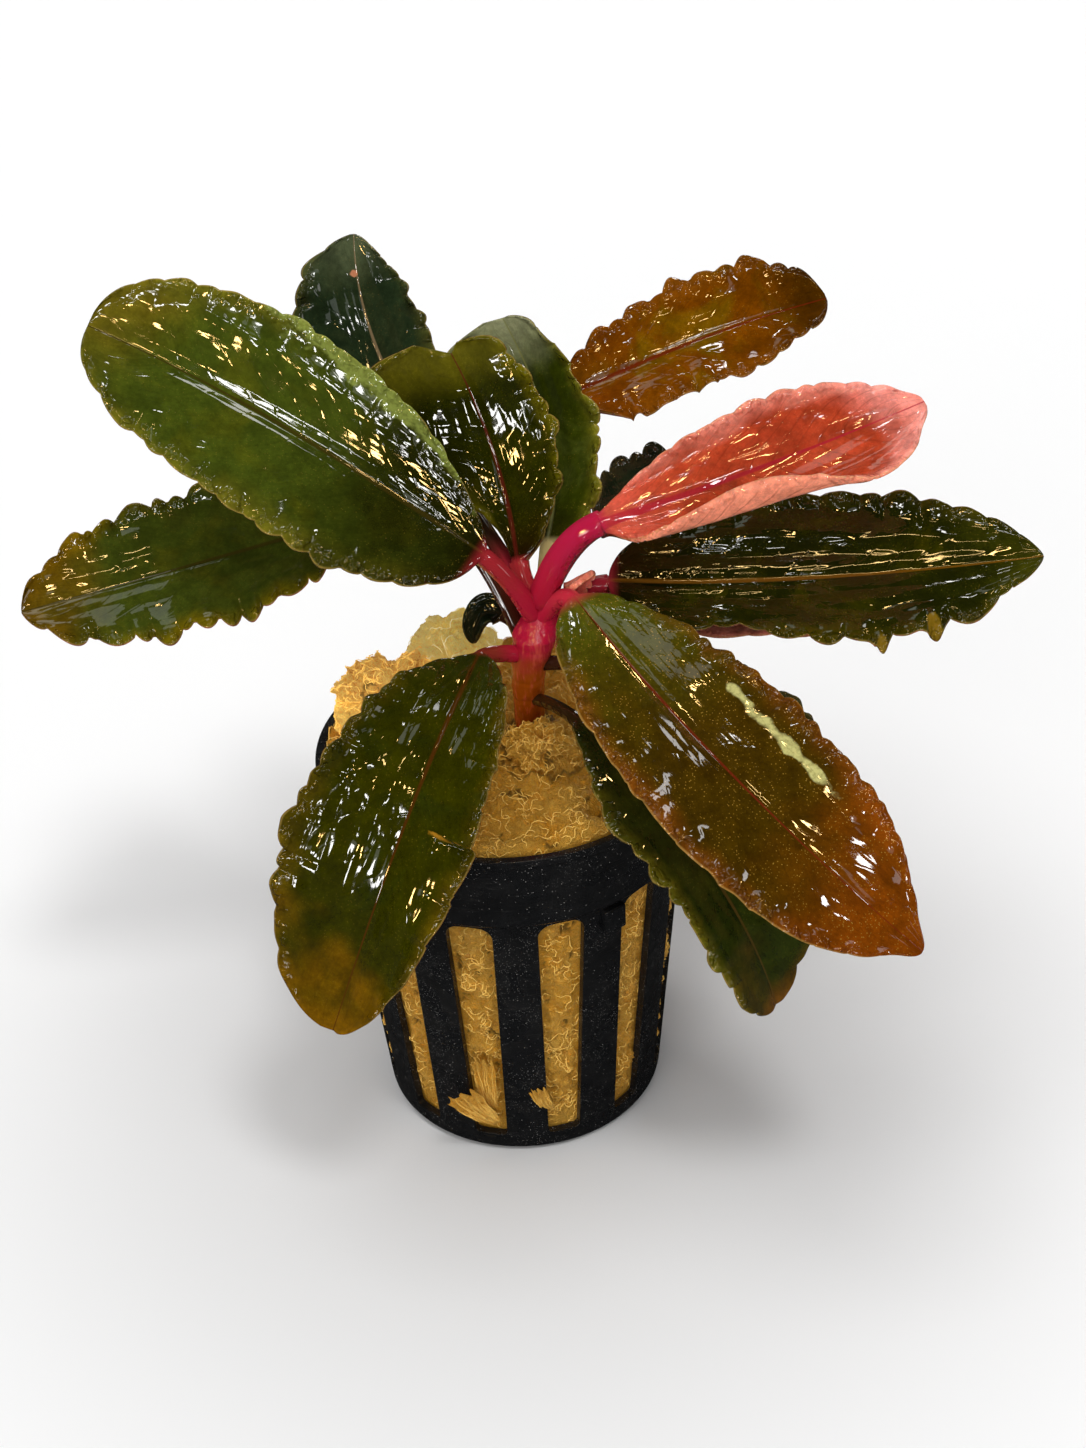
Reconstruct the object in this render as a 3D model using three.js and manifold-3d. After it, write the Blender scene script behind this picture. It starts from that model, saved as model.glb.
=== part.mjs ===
// Bucephalandra with fifteen ruffled leaves, rooted in rock wool in a small slotted net pot.
// Millimetres, +Z up, origin at the centre of the pot's underside, +X right and -Y to the front.

import * as THREE from "three";
import { ParametricGeometry } from "three/addons/geometries/ParametricGeometry.js";
import { mergeGeometries, mergeVertices } from "three/addons/utils/BufferGeometryUtils.js";
import Module from "manifold-3d";

const wasm = await Module();
wasm.setup();

const { sin, cos, hypot, min, max, abs, PI } = Math;

// Driving dimensions of the pot
const POT_HEIGHT = 54.8;
const BASE_RADIUS = 19;
const SHOULDER_RADIUS = 23;
const COLLAR_BOTTOM = 43.2;
const COLLAR_STEP = 0.7;
const RIM_RADIUS = 24.6;
const LIP_RADIUS = 24.9;
const LIP_HEIGHT = 1.2;
const WALL = 1.1;
const FLOOR = 1.6;
const CORNER = 1.5;
const POT_SEGMENTS = 36;
const SLOT_COUNT = 12;
const SLOT_FIRST = 15;
const SLOT_BOTTOM = 3.2;
const SLOT_TOP = 42.6;
const SLOT_HALF_BOTTOM = 2.2;
const SLOT_HALF_TOP = 3.1;
const TAB = { angle: 33, width: 3.2, height: 3.6, depth: 1, middle: 40.8 };

// Radii between which the slots are cut, and between which wool may fill them
const CUT_INNER = BASE_RADIUS - 5;
const CUT_OUTER = SHOULDER_RADIUS + 3;
const FILL_INNER = BASE_RADIUS - 6;

// Driving dimensions of the wool and the stem
const GAP = 0.3;
const WOOL_SEGMENTS = 24;
const WOOL_INSET = 0.5;
const WOOL_CROWN = 59;
const WOOL_AT_RIM = POT_HEIGHT + 0.4;
const MOUND_LUMPS = 0.9;
const MOUND_SHARES = [0.97, 0.8, 0.6, 0.4, 0.2, 0];
const LUMP_SLICES = 12;
const LUMP_ROWS = 8;
const STEM = {
  path: [[3, 0.5, 48], [3.3, 0.2, 59], [3.4, -0.8, 66], [4.6, -0.5, 72], [6, 0.4, 76.5]],
  radii: [1.7, 2, 2.2, 2.9, 1.5],
  rows: 12,
  slices: 12,
  cap: 0.8,
};

// The tuft of wool that hangs out of a slot, a flat cone from its frayed end to its point
const TUFT = { from: [-9.6, -21.3, 14], to: [-4, -18.4, 5.4], radius: 2.6, flat: 0.4, sides: 8 };

// Loose lumps of wool on the mound: middle, half sizes and the count and height of their bumps
const WOOL_LUMPS = {
  wool_stem_wrap: { at: [4.6, -5.6, 58], half: [6.2, 5.6, 4.4], bumps: 3, rise: 0.09, tone: 0xcf9d4e },
  wool_left_block: { at: [-13.6, 2.6, 59.7], half: [8.8, 8, 6.8], bumps: 4, rise: 0.1, tone: 0xd6a963 },
  wool_pale_lump: { at: [-6.4, 9.6, 63], half: [6.6, 5.4, 6], bumps: 3, rise: 0.12, tone: 0xe6d28c },
};

// Each leaf is a stalk from the stem and a blade whose rib runs neck, belly, tip.
// The top faces `face` (and `face2` at the tip); pairs are (left, right) looking from neck to tip:
// half widths in mm, place of the widest point, fold at the rib and further curl to the margin in degrees.
// `blunt` is how pointed the two ends are, `ruffle` the height of the margin's `waves`.
const LEAVES = {
  leaf_left_upper: {
    root: [4.5, -0.5, 74.5], neck: [-1.5, -1, 84], belly: [-24.5, 6, 97.5], tip: [-47.5, 12, 111.5],
    face: [0.05, -0.6, 0.8], half: [10.5, 14], widest: [0.5, 0.6], fold: [8, 12], curl: [-10, 15],
    ruffle: 0.5, waves: 11, blunt: [0.65, 0.42], stalk: [1.6, 1.1], tone: 0x39481a,
  },
  leaf_left_lower: {
    root: [3.4, -0.5, 69.5], neck: [-13, 9, 85.5], belly: [-36.5, 8, 80], tip: [-60, 2, 77.5],
    face: [-0.1, -0.5, 0.85], half: [9.5, 9.5], widest: [0.55, 0.55], fold: [8, 8], curl: [-10, 15],
    ruffle: 1.2, waves: 11, blunt: [0.6, 0.6], stalk: [1.1, 0.8], tone: 0x2f3a17,
  },
  leaf_back_left: {
    root: [5, 0, 75], neck: [-3.5, 12, 84.5], belly: [-13.5, 27, 97.5], tip: [-16, 34, 112],
    face: [0, -0.8, 0.6], half: [9.4, 7.2], widest: [0.6, 0.52], fold: [10, 10], curl: [10, 10],
    ruffle: 0.9, waves: 9, blunt: [0.6, 0.72], stalk: [1.1, 0.8], tone: 0x1f2c16,
  },
  leaf_center_upright: {
    root: [5.2, 0, 75], neck: [3, 3, 80.5], belly: [0.5, 10.5, 92.2], tip: [-4, 14.5, 104],
    face: [-0.15, -0.85, 0.45], half: [13.2, 10], widest: [0.79, 0.6], fold: [8, 8], curl: [5, 5],
    ruffle: 0.7, waves: 8, blunt: [0.6, 0.32], stalk: [1.3, 1], tone: 0x45461a,
  },
  leaf_center_back: {
    root: [5.9, 0.6, 75.2], neck: [7, 8.1, 79.7], belly: [7.5, 18.5, 90], tip: [2.5, 26, 103],
    face: [-0.3, -0.8, 0.4], half: [10, 7.2], widest: [0.66, 0.5], fold: [10, 10], curl: [10, 10],
    ruffle: 0.9, waves: 8, blunt: [0.6, 0.5], stalk: [1.3, 1], tone: 0x59671f,
  },
  leaf_right_upper: {
    root: [6, 0.5, 75.5], neck: [9.1, 23.3, 91.9], belly: [27, 28.8, 96.8], tip: [45, 34, 99.5], bend: [7, 19, 77],
    face: [0, -0.6, 0.8], half: [8.2, 7.3], widest: [0.62, 0.45], fold: [8, 8], curl: [5, 5],
    ruffle: 1, waves: 8, blunt: [0.42, 0.55], stalk: [1.1, 0.8], tone: 0x80501a,
  },
  leaf_new_pink: {
    root: [5.4, 0, 75.5], neck: [13.5, -2, 88.5], belly: [33, -1, 94.5], tip: [52, 4, 99],
    face: [0, -0.45, 0.9], half: [8.2, 10], widest: [0.6, 0.6], fold: [25, -45], fold2: [10, -5],
    curl: [25, 200], curl2: [10, 30], ruffle: 0.5, waves: 8, blunt: [0.7, 0.6], stalk: [1.9, 1.3],
    slices: 16, tone: 0xc9665a,
  },
  leaf_right: {
    root: [5, -0.4, 74], neck: [14, 0, 78.5], belly: [41.5, -2, 79], tip: [67.5, -3, 81],
    face: [0, -0.6, 0.8], half: [11, 9], widest: [0.48, 0.48], fold: [8, 8], curl: [5, 0],
    ruffle: 0.9, waves: 10, blunt: [0.6, 0.7], stalk: [1.2, 0.9], tone: 0x33371a,
  },
  leaf_front_right: {
    root: [4.6, -0.6, 73], neck: [9.5, -4, 78.5], belly: [27.6, -27.6, 67.2], tip: [50.5, -39, 51.5],
    face: [0.1, -0.5, 0.9], half: [11.7, 12.2], widest: [0.55, 0.55], fold: [8, 8], curl: [-5, -5],
    ruffle: 0.7, waves: 11, blunt: [0.5, 0.7], stalk: [1.3, 1], tone: 0x6a4a1c,
  },
  leaf_front_left: {
    root: [3.6, -0.8, 69], neck: [-2.5, -6, 72], belly: [-10.5, -26, 66.5], tip: [-22.5, -34, 38],
    face: [-0.1, -0.6, 0.8], half: [9, 13.5], widest: [0.6, 0.64], fold: [10, 10], curl: [5, 5],
    ruffle: 0.8, waves: 10, blunt: [0.55, 0.5], stalk: [1.2, 0.9], tone: 0x3c3f17,
  },
  leaf_low_right: {
    root: [3.4, -0.2, 62], neck: [9.5, -10, 64.5], belly: [23.8, -27.5, 54.6], tip: [32, -31, 35],
    face: [0.2, -0.5, 0.8], half: [8, 6.5], widest: [0.65, 0.65], fold: [8, 8], curl: [0, 0],
    ruffle: 1, waves: 9, blunt: [0.6, 0.4], stalk: [0.9, 0.7], tone: 0x2b3515,
  },
  leaf_back_right: {
    root: [5.4, 0.5, 74], neck: [14, 14, 78.5], belly: [23, 20, 78.8], tip: [34, 23, 80.5],
    face: [0, -0.4, 0.9], half: [7.5, 8], widest: [0.5, 0.5], fold: [10, 10], curl: [0, 0],
    ruffle: 0.5, waves: 7, blunt: [0.6, 0.7], stalk: [1, 0.8], tone: 0x23281a,
  },
  leaf_under_right: {
    root: [4.7, -0.5, 71.4], neck: [13, 2.1, 73.6], belly: [33, 2, 72.6], tip: [52.5, 0, 73],
    face: [0, -0.4, 0.9], half: [7, 5], widest: [0.5, 0.5], fold: [10, 10], curl: [0, 0],
    ruffle: 0.5, waves: 6, blunt: [0.6, 0.7], stalk: [1, 0.8], tone: 0x8a4a3e,
  },
  leaf_hidden_right: {
    root: [3.8, -0.8, 67.5], neck: [10.5, -4, 69], belly: [27, -12, 66], tip: [39.5, -15, 58],
    face: [0.1, -0.4, 0.9], half: [6.5, 6.5], widest: [0.6, 0.6], fold: [8, 8], curl: [0, 0],
    ruffle: 0.6, waves: 6, blunt: [0.6, 0.5], stalk: [1, 0.8], tone: 0x22261a,
  },
  leaf_small_curled: {
    root: [3.4, -0.3, 67], neck: [0.5, 5, 71.5], belly: [-2, 5, 71.5], tip: [-3.5, 2.5, 69],
    face: [-0.5, -0.5, 0.7], half: [1.8, 2.4], widest: [0.5, 0.5], fold: [10, 10], curl: [20, 20],
    ruffle: 0.05, waves: 3, blunt: [0.6, 0.6], stalk: [0.7, 0.6], tone: 0x1c2415,
  },
  scale_leaf: {
    root: [5.6, -0.4, 74.5], neck: [9.3, -1.1, 78.3], belly: [10.8, -1.2, 79.9], tip: [12.4, -1, 80.7],
    face: [0.5, -0.8, -0.4], half: [1.1, 1.1], widest: [0.4, 0.4], fold: [10, 10], curl: [30, 30],
    ruffle: 0, waves: 2, blunt: [0.5, 0.6], stalk: [0.6, 0.5], tone: 0xd9705e,
  },
};
const BLADE_THICKNESS = 0.7;
const BLADE_SLICES = 8;
const STALK_STATIONS = [0, 0.25, 0.5, 0.75];
const STALK_REACH = 0.4;
const OVAL = 2.2;
const NECK_FADE = 6;
const FLAT = 1e-6;

// Edges shorter than this are merged after the cuts
const SHORT_EDGE = 0.05;

const radians = (degrees) => (degrees * PI) / 180;
const mix = (a, b, t) => a + (b - a) * t;
const vec = (xyz) => new THREE.Vector3(...xyz);

/** The closed solid of a geometry, with its faces turned outwards. */
function solidOf(geometry) {
  const bare = new THREE.BufferGeometry();
  bare.setAttribute("position", geometry.getAttribute("position").clone());
  if (geometry.index) bare.setIndex(geometry.index.clone());
  const welded = mergeVertices(bare, 1e-4);
  const points = welded.getAttribute("position").array;
  const corners = [];
  const index = welded.index.array;
  for (let i = 0; i < index.length; i += 3) {
    const [a, b, c] = [index[i], index[i + 1], index[i + 2]];
    if (a !== b && b !== c && c !== a) corners.push(a, b, c);
  }
  if (signedVolume(points, corners) < 0) corners.reverse();
  const mesh = new wasm.Mesh({ numProp: 3, vertProperties: points, triVerts: Uint32Array.from(corners) });
  mesh.merge();
  return new wasm.Manifold(mesh);
}

function signedVolume(points, corners) {
  const at = (i) => new THREE.Vector3().fromArray(points, 3 * i);
  let six = 0;
  for (let i = 0; i < corners.length; i += 3) {
    six += at(corners[i]).dot(at(corners[i + 1]).cross(at(corners[i + 2])));
  }
  return six / 6;
}

/** A named mesh of a closed solid. */
function piece(name, solid, tone, roughness = 0.35) {
  const raw = solid.getMesh();
  const geometry = new THREE.BufferGeometry();
  geometry.setAttribute("position", new THREE.BufferAttribute(raw.vertProperties, 3));
  geometry.setIndex(new THREE.BufferAttribute(raw.triVerts, 1));
  geometry.computeVertexNormals();
  const material = new THREE.MeshStandardMaterial({ color: tone, roughness, metalness: 0 });
  const mesh = new THREE.Mesh(geometry, material);
  mesh.name = name;
  return mesh;
}

// Pot

/** A lathe round the Z axis from a profile of [radius, height] points. */
function turned(profile, segments) {
  const points = profile.map(([r, z]) => new THREE.Vector2(r, z));
  return new THREE.LatheGeometry(points, segments).rotateX(PI / 2);
}

/** Outer radius of the slotted body at a height. */
function bodyRadius(z) {
  return mix(BASE_RADIUS, SHOULDER_RADIUS, min(z / COLLAR_BOTTOM, 1));
}

function potShell() {
  const collar = SHOULDER_RADIUS + COLLAR_STEP;
  const lipBottom = POT_HEIGHT - LIP_HEIGHT;
  return turned(
    [
      [0, 0], [BASE_RADIUS - CORNER, 0], [BASE_RADIUS - CORNER * 0.3, CORNER * 0.3], [bodyRadius(CORNER), CORNER],
      [SHOULDER_RADIUS, COLLAR_BOTTOM - COLLAR_STEP], [collar, COLLAR_BOTTOM], [RIM_RADIUS, lipBottom],
      [LIP_RADIUS, lipBottom], [LIP_RADIUS, POT_HEIGHT], [LIP_RADIUS - WALL, POT_HEIGHT],
      [RIM_RADIUS - WALL, lipBottom], [SHOULDER_RADIUS - WALL, COLLAR_BOTTOM],
      [bodyRadius(FLOOR) - WALL, FLOOR], [0, FLOOR], [0, 0],
    ],
    POT_SEGMENTS,
  );
}

/** One slot as a block lying along a radius, narrowed all round by `inset`, from one radius to another. */
function slotBlock(degrees, inset, inner, outer) {
  const top = SLOT_TOP - inset;
  const bottom = SLOT_BOTTOM + inset;
  const wide = SLOT_HALF_TOP - inset;
  const narrow = SLOT_HALF_BOTTOM - inset;
  const round = wide * 0.75;
  const outline = new THREE.Shape();
  outline.moveTo(-narrow, bottom);
  outline.lineTo(narrow, bottom);
  outline.lineTo(wide, top - round);
  outline.quadraticCurveTo(wide, top, wide - round, top);
  outline.lineTo(round - wide, top);
  outline.quadraticCurveTo(-wide, top, -wide, top - round);
  const block = new THREE.ExtrudeGeometry(outline, { depth: outer - inner, bevelEnabled: false, curveSegments: 2 });
  block.rotateX(PI / 2).translate(0, -inner, 0).rotateZ(radians(degrees));
  return solidOf(block);
}

const slotAngles = Array.from({ length: SLOT_COUNT }, (_, i) => SLOT_FIRST + (i * 360) / SLOT_COUNT);

function pot() {
  let solid = solidOf(potShell());
  for (const degrees of slotAngles) {
    solid = solid.subtract(slotBlock(degrees, 0, CUT_INNER, CUT_OUTER));
  }
  const tab = new THREE.BoxGeometry(TAB.width, TAB.depth + WALL, TAB.height);
  tab.translate(0, -bodyRadius(TAB.middle) - TAB.depth / 2 + WALL / 2, TAB.middle).rotateZ(radians(TAB.angle));
  return solid.add(solidOf(tab));
}

// Wool

/** A gentle, repeatable lumpiness between -1 and 1. */
function lumpy(x, y) {
  const [slow, fast] = [0.6, 0.4];
  return slow * sin(0.55 * x + 1.3) * cos(0.6 * y + 0.4) + fast * sin(1.1 * x - 0.9 * y);
}

/** Height of the wool mound over the pot, from its own middle to the rim. */
function moundHeight(x, y) {
  const r = hypot(x, y) / (RIM_RADIUS - WALL);
  return mix(WOOL_CROWN, WOOL_AT_RIM, r * r) + MOUND_LUMPS * lumpy(x, y) * (1 - 0.5 * r);
}

function woolPlug() {
  const clear = WALL + GAP;
  const low = FLOOR + GAP;
  const walls = [
    [0, low], [bodyRadius(low) - clear - 1, low], [bodyRadius(low + 1) - clear, low + 1],
    [SHOULDER_RADIUS - clear, COLLAR_BOTTOM], [RIM_RADIUS - clear, POT_HEIGHT - LIP_HEIGHT],
  ];
  const rows = walls.length + MOUND_SHARES.length;
  const geometry = new ParametricGeometry(
    (u, v, target) => {
      const row = Math.round(v * (rows - 1));
      const turn = 2 * PI * u;
      if (row < walls.length) {
        const [r, z] = walls[row];
        target.set(r * cos(turn), r * sin(turn), z);
        return;
      }
      const r = MOUND_SHARES[row - walls.length] * (RIM_RADIUS - clear);
      const [x, y] = [r * cos(turn), r * sin(turn)];
      target.set(x, y, moundHeight(x, y));
    },
    WOOL_SEGMENTS,
    rows - 1,
  );
  let solid = solidOf(geometry);
  for (const degrees of slotAngles) {
    const fill = slotBlock(degrees, GAP, FILL_INNER, CUT_OUTER);
    solid = solid.add(fill.intersect(slotReach()));
  }
  return solid;
}

/** What the wool may fill out to inside the slots. */
function slotReach() {
  const out = WOOL_INSET;
  return solidOf(
    turned(
      [[0, 2], [bodyRadius(2) - out, 2], [SHOULDER_RADIUS - out, COLLAR_BOTTOM], [0, COLLAR_BOTTOM], [0, 2]],
      POT_SEGMENTS,
    ),
  );
}

/** The frayed tuft that hangs out of the front left slot, clear of the wall beside the slot. */
function slotTuft() {
  const axis = vec(TUFT.to).sub(vec(TUFT.from));
  const cone = new THREE.ConeGeometry(TUFT.radius, axis.length(), TUFT.sides, 1).scale(1, 1, TUFT.flat);
  const turn = new THREE.Quaternion().setFromUnitVectors(new THREE.Vector3(0, 1, 0), axis.clone().normalize());
  cone.applyQuaternion(turn).translate(...vec(TUFT.from).addScaledVector(axis, 0.5).toArray());
  const tuft = solidOf(cone);
  const throat = slotBlock(slotAngles.at(-1), GAP, FILL_INNER, CUT_OUTER);
  return tuft.subtract(potBlock()).add(tuft.intersect(throat));
}

/** The pot as a full block, with the gap all round. */
function potBlock() {
  return solidOf(
    turned(
      [[0, -1], [bodyRadius(0) + GAP, -1], [SHOULDER_RADIUS + GAP, COLLAR_BOTTOM - COLLAR_STEP],
        [LIP_RADIUS + GAP, COLLAR_BOTTOM], [LIP_RADIUS + GAP, POT_HEIGHT + GAP], [0, POT_HEIGHT + GAP], [0, -1]],
      POT_SEGMENTS,
    ),
  );
}

function woolLump({ at, half, bumps, rise }, grow = 0) {
  const geometry = new ParametricGeometry(
    (u, v, target) => {
      const turn = 2 * PI * u;
      const fall = PI * v;
      const swell = 1 + rise * sin(bumps * turn + at[0]) * sin(fall) * cos(bumps * fall);
      const [x, y, z] = half.map((h) => (h + grow) * swell);
      target.set(at[0] + x * sin(fall) * cos(turn), at[1] + y * sin(fall) * sin(turn), at[2] + z * cos(fall));
    },
    LUMP_SLICES,
    LUMP_ROWS,
  );
  return solidOf(geometry);
}

// Stem

function stemSolid(grow = 0) {
  const curve = new THREE.CatmullRomCurve3(STEM.path.map(vec));
  const spans = STEM.radii.length - 1;
  const { rows, slices, cap } = STEM;
  const geometry = new ParametricGeometry(
    (u, v, target) => {
      const row = Math.round(v * (rows + 2)) - 1;
      const t = min(max(row / rows, 0), 1);
      const span = min(Math.floor(t * spans), spans - 1);
      const radius = mix(STEM.radii[span], STEM.radii[span + 1], t * spans - span) + grow;
      const ring = row < 0 || row > rows ? 0 : radius;
      const lift = row > rows ? cap + grow : min(row, 0) * grow;
      curve.getPoint(t, target);
      target.add(new THREE.Vector3(ring * cos(2 * PI * u), ring * sin(2 * PI * u), lift));
    },
    slices,
    rows + 2,
  );
  return solidOf(geometry);
}

// Leaves

/** Share of the half width at t along the blade, on side 0 (left) or 1 (right). */
function widthAt(leaf, t, side) {
  const x = t ** (Math.log(0.5) / Math.log(leaf.widest[side]));
  const power = mix(leaf.blunt[0], leaf.blunt[1], t);
  return max(1 - abs(2 * x - 1) ** OVAL, 0) ** power;
}

/** The rib's curves: the stalk's and the blade's, which share a direction at the neck. */
function ribOf(leaf) {
  const [root, neck, belly, tip] = [leaf.root, leaf.neck, leaf.belly, leaf.tip].map(vec);
  const pull = belly.clone().multiplyScalar(2).sub(neck.clone().add(tip).multiplyScalar(0.5));
  const blade = new THREE.QuadraticBezierCurve3(neck, pull, tip);
  const reach = STALK_REACH * neck.distanceTo(root);
  const bend = leaf.bend ? vec(leaf.bend) : neck.clone().sub(blade.getTangent(0).multiplyScalar(reach));
  return { stalk: new THREE.QuadraticBezierCurve3(root, bend, neck), blade };
}

/** Where a point of the leaf's skin lies across the rib: side is -1 to 1, top is -1 to 1. */
function acrossBlade(leaf, t, side, top) {
  const k = side < 0 ? 0 : 1;
  const a = abs(side);
  const share = widthAt(leaf, t, k);
  const half = leaf.half[k] * share + leaf.stalk[1] * (1 - t) ** 2;
  const fold = radians(mix(leaf.fold[k], (leaf.fold2 ?? leaf.fold)[k], t));
  const neck = (1 - t) ** NECK_FADE;
  const curl = radians(mix(leaf.curl[k], (leaf.curl2 ?? leaf.curl)[k], t)) * (1 - neck) || FLAT;
  const turn = fold + curl * a;
  const wave = leaf.ruffle * share * a ** 3 * sin(2 * PI * leaf.waves * t + PI * k);
  const thick = (leaf.stalk[1] * neck + BLADE_THICKNESS / 2) * top + wave;
  const out = (half * (sin(turn) - sin(fold))) / curl - thick * sin(turn);
  const up = (half * (cos(fold) - cos(turn))) / curl + thick * cos(turn);
  return { out: k ? out : -out, up };
}

/** The upper skin (layer 1) or the lower skin (layer -1) of a leaf, from margin to margin. */
function leafSkin(leaf, layer) {
  const { stalk, blade } = ribOf(leaf);
  const crests = 2 * leaf.waves;
  const stations = STALK_STATIONS.map((t) => ({ curve: stalk, t }));
  for (let i = 0; i < crests; i += 1) stations.push({ curve: blade, t: (i + 0.5) / crests });
  const rows = stations.length;
  const face = vec(leaf.face);
  const face2 = vec(leaf.face2 ?? leaf.face);
  const geometry = new ParametricGeometry(
    (u, v, target) => {
      const row = Math.round(v * (rows + 1)) - 1;
      if (row < 0 || row >= rows) {
        target.copy(row < 0 ? stalk.getPoint(0) : blade.getPoint(1));
        return;
      }
      const { curve, t } = stations[row];
      const along = curve.getTangent(t);
      const up = curve === blade ? face.clone().lerp(face2, t) : face.clone();
      up.addScaledVector(along, -up.dot(along)).normalize();
      const right = along.clone().cross(up);
      const side = cos(PI * u);
      const top = layer * sin(PI * u);
      const thick = mix(leaf.stalk[0], leaf.stalk[1], t);
      const across = curve === blade ? acrossBlade(leaf, t, side, top) : { out: thick * side, up: thick * top };
      curve.getPoint(t, target);
      target.addScaledVector(right, across.out).addScaledVector(up, across.up);
    },
    (leaf.slices ?? BLADE_SLICES) / 2,
    rows + 1,
  );
  if (layer < 0) geometry.index.array.reverse();
  return geometry;
}

/** A leaf between its two skins, which are split into triangles alike so that they never cross. */
function leafSolid(leaf) {
  return solidOf(mergeGeometries([leafSkin(leaf, 1), leafSkin(leaf, -1)]));
}

/** The stalk alone, thicker by the gap, as the room that its neighbours leave it. */
function stalkRoom(leaf) {
  const { stalk } = ribOf(leaf);
  const rows = STALK_STATIONS.length;
  const geometry = new ParametricGeometry(
    (u, v, target) => {
      const row = Math.round(v * (rows + 2)) - 1;
      const t = min(max(row / rows, 0), 1);
      const ring = row < 0 || row > rows ? 0 : mix(leaf.stalk[0], leaf.stalk[1], t) + GAP;
      const along = stalk.getTangent(t);
      const up = vec(leaf.face).addScaledVector(along, -vec(leaf.face).dot(along)).normalize();
      const right = along.clone().cross(up);
      stalk.getPoint(t, target);
      target.addScaledVector(right, ring * cos(2 * PI * u)).addScaledVector(up, ring * sin(2 * PI * u));
    },
    BLADE_SLICES,
    rows + 2,
  );
  return solidOf(geometry);
}

/** The largest of the bodies that a cut leaves, without slivers. */
function largest(solid) {
  const body = solid.decompose().reduce((best, other) => (other.volume() > best.volume() ? other : best));
  return body.simplify(SHORT_EDGE);
}

// Assembly

const plant = new THREE.Group();
plant.name = "bucephalandra";
plant.add(piece("net_pot", pot(), 0x1e2021, 0.45));

const stemGrown = stemSolid(GAP);
const plug = woolPlug().add(slotTuft()).subtract(stemGrown);
plant.add(piece("rock_wool", plug, 0xd2a055, 0.95));

let taken = stemGrown.add(potBlock()).add(woolPlug().translate([0, 0, GAP]));
for (const [name, lump] of Object.entries(WOOL_LUMPS)) {
  plant.add(piece(name, woolLump(lump).subtract(taken), lump.tone, 0.95));
  taken = taken.add(woolLump(lump, GAP));
}

plant.add(piece("stem", stemSolid(), 0xb0284a));
let crown = stemGrown;
for (const [name, leaf] of Object.entries(LEAVES)) {
  plant.add(piece(name, largest(leafSolid(leaf).subtract(crown)), leaf.tone));
  crown = crown.add(stalkRoom(leaf));
}

export default plant;
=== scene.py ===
"""Bucephalandra with ruffled wet leaves, rooted in rock wool in a small slotted net pot.

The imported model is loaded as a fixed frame. Sizes are in millimetres in the frame's own axes
(+Z up, origin under the pot, -Y to the front) and are turned into metres as each mesh is written.
"""

import logging
import math
import random
from dataclasses import dataclass, field
from enum import Enum

import bmesh
import bpy
from mathutils import Matrix, Vector, noise
from mathutils.bvhtree import BVHTree


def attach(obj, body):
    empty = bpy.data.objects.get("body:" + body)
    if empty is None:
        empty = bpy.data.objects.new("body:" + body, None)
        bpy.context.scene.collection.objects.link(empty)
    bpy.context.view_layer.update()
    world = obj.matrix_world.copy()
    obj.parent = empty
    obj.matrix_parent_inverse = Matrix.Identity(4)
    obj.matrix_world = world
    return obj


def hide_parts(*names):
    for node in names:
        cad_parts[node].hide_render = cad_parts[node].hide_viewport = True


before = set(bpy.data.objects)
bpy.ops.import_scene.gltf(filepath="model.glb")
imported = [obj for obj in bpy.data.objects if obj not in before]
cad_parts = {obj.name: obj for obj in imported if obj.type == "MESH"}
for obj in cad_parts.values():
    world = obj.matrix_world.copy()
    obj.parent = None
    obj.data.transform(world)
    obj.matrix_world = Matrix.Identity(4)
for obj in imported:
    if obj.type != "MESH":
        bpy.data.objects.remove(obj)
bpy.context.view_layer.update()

log = logging.getLogger("bucephalandra")

MM = 0.001
MERGE = 1e-4
Triple = tuple[float, float, float]
Pair = tuple[float, float]
Colour = tuple[float, float, float, float]
Socket = bpy.types.NodeSocket
Value = Socket | float | Colour


def mix(a: float, b: float, t: float) -> float:
    """The value at share t between a and b."""
    return a + (b - a) * t


def smooth(value: float, low: float, high: float) -> float:
    """0 below low, 1 above high and an even slope between; low may be the larger."""
    t = min(max((value - low) / (high - low), 0.0), 1.0)
    return t * t * (3 - 2 * t)


def colour(red: int, green: int, blue: int) -> Colour:
    """A colour in linear light.

    Args:
        red: Its red on a screen, 0 to 255.
        green: Its green.
        blue: Its blue.

    Returns:
        Red, green, blue and an alpha of 1.
    """

    def linear(value: int) -> float:
        """One screen value in linear light."""
        share = value / 255
        return share / 12.92 if share <= 0.04045 else ((share + 0.055) / 1.055) ** 2.4

    return (linear(red), linear(green), linear(blue), 1.0)


# Node trees


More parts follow.
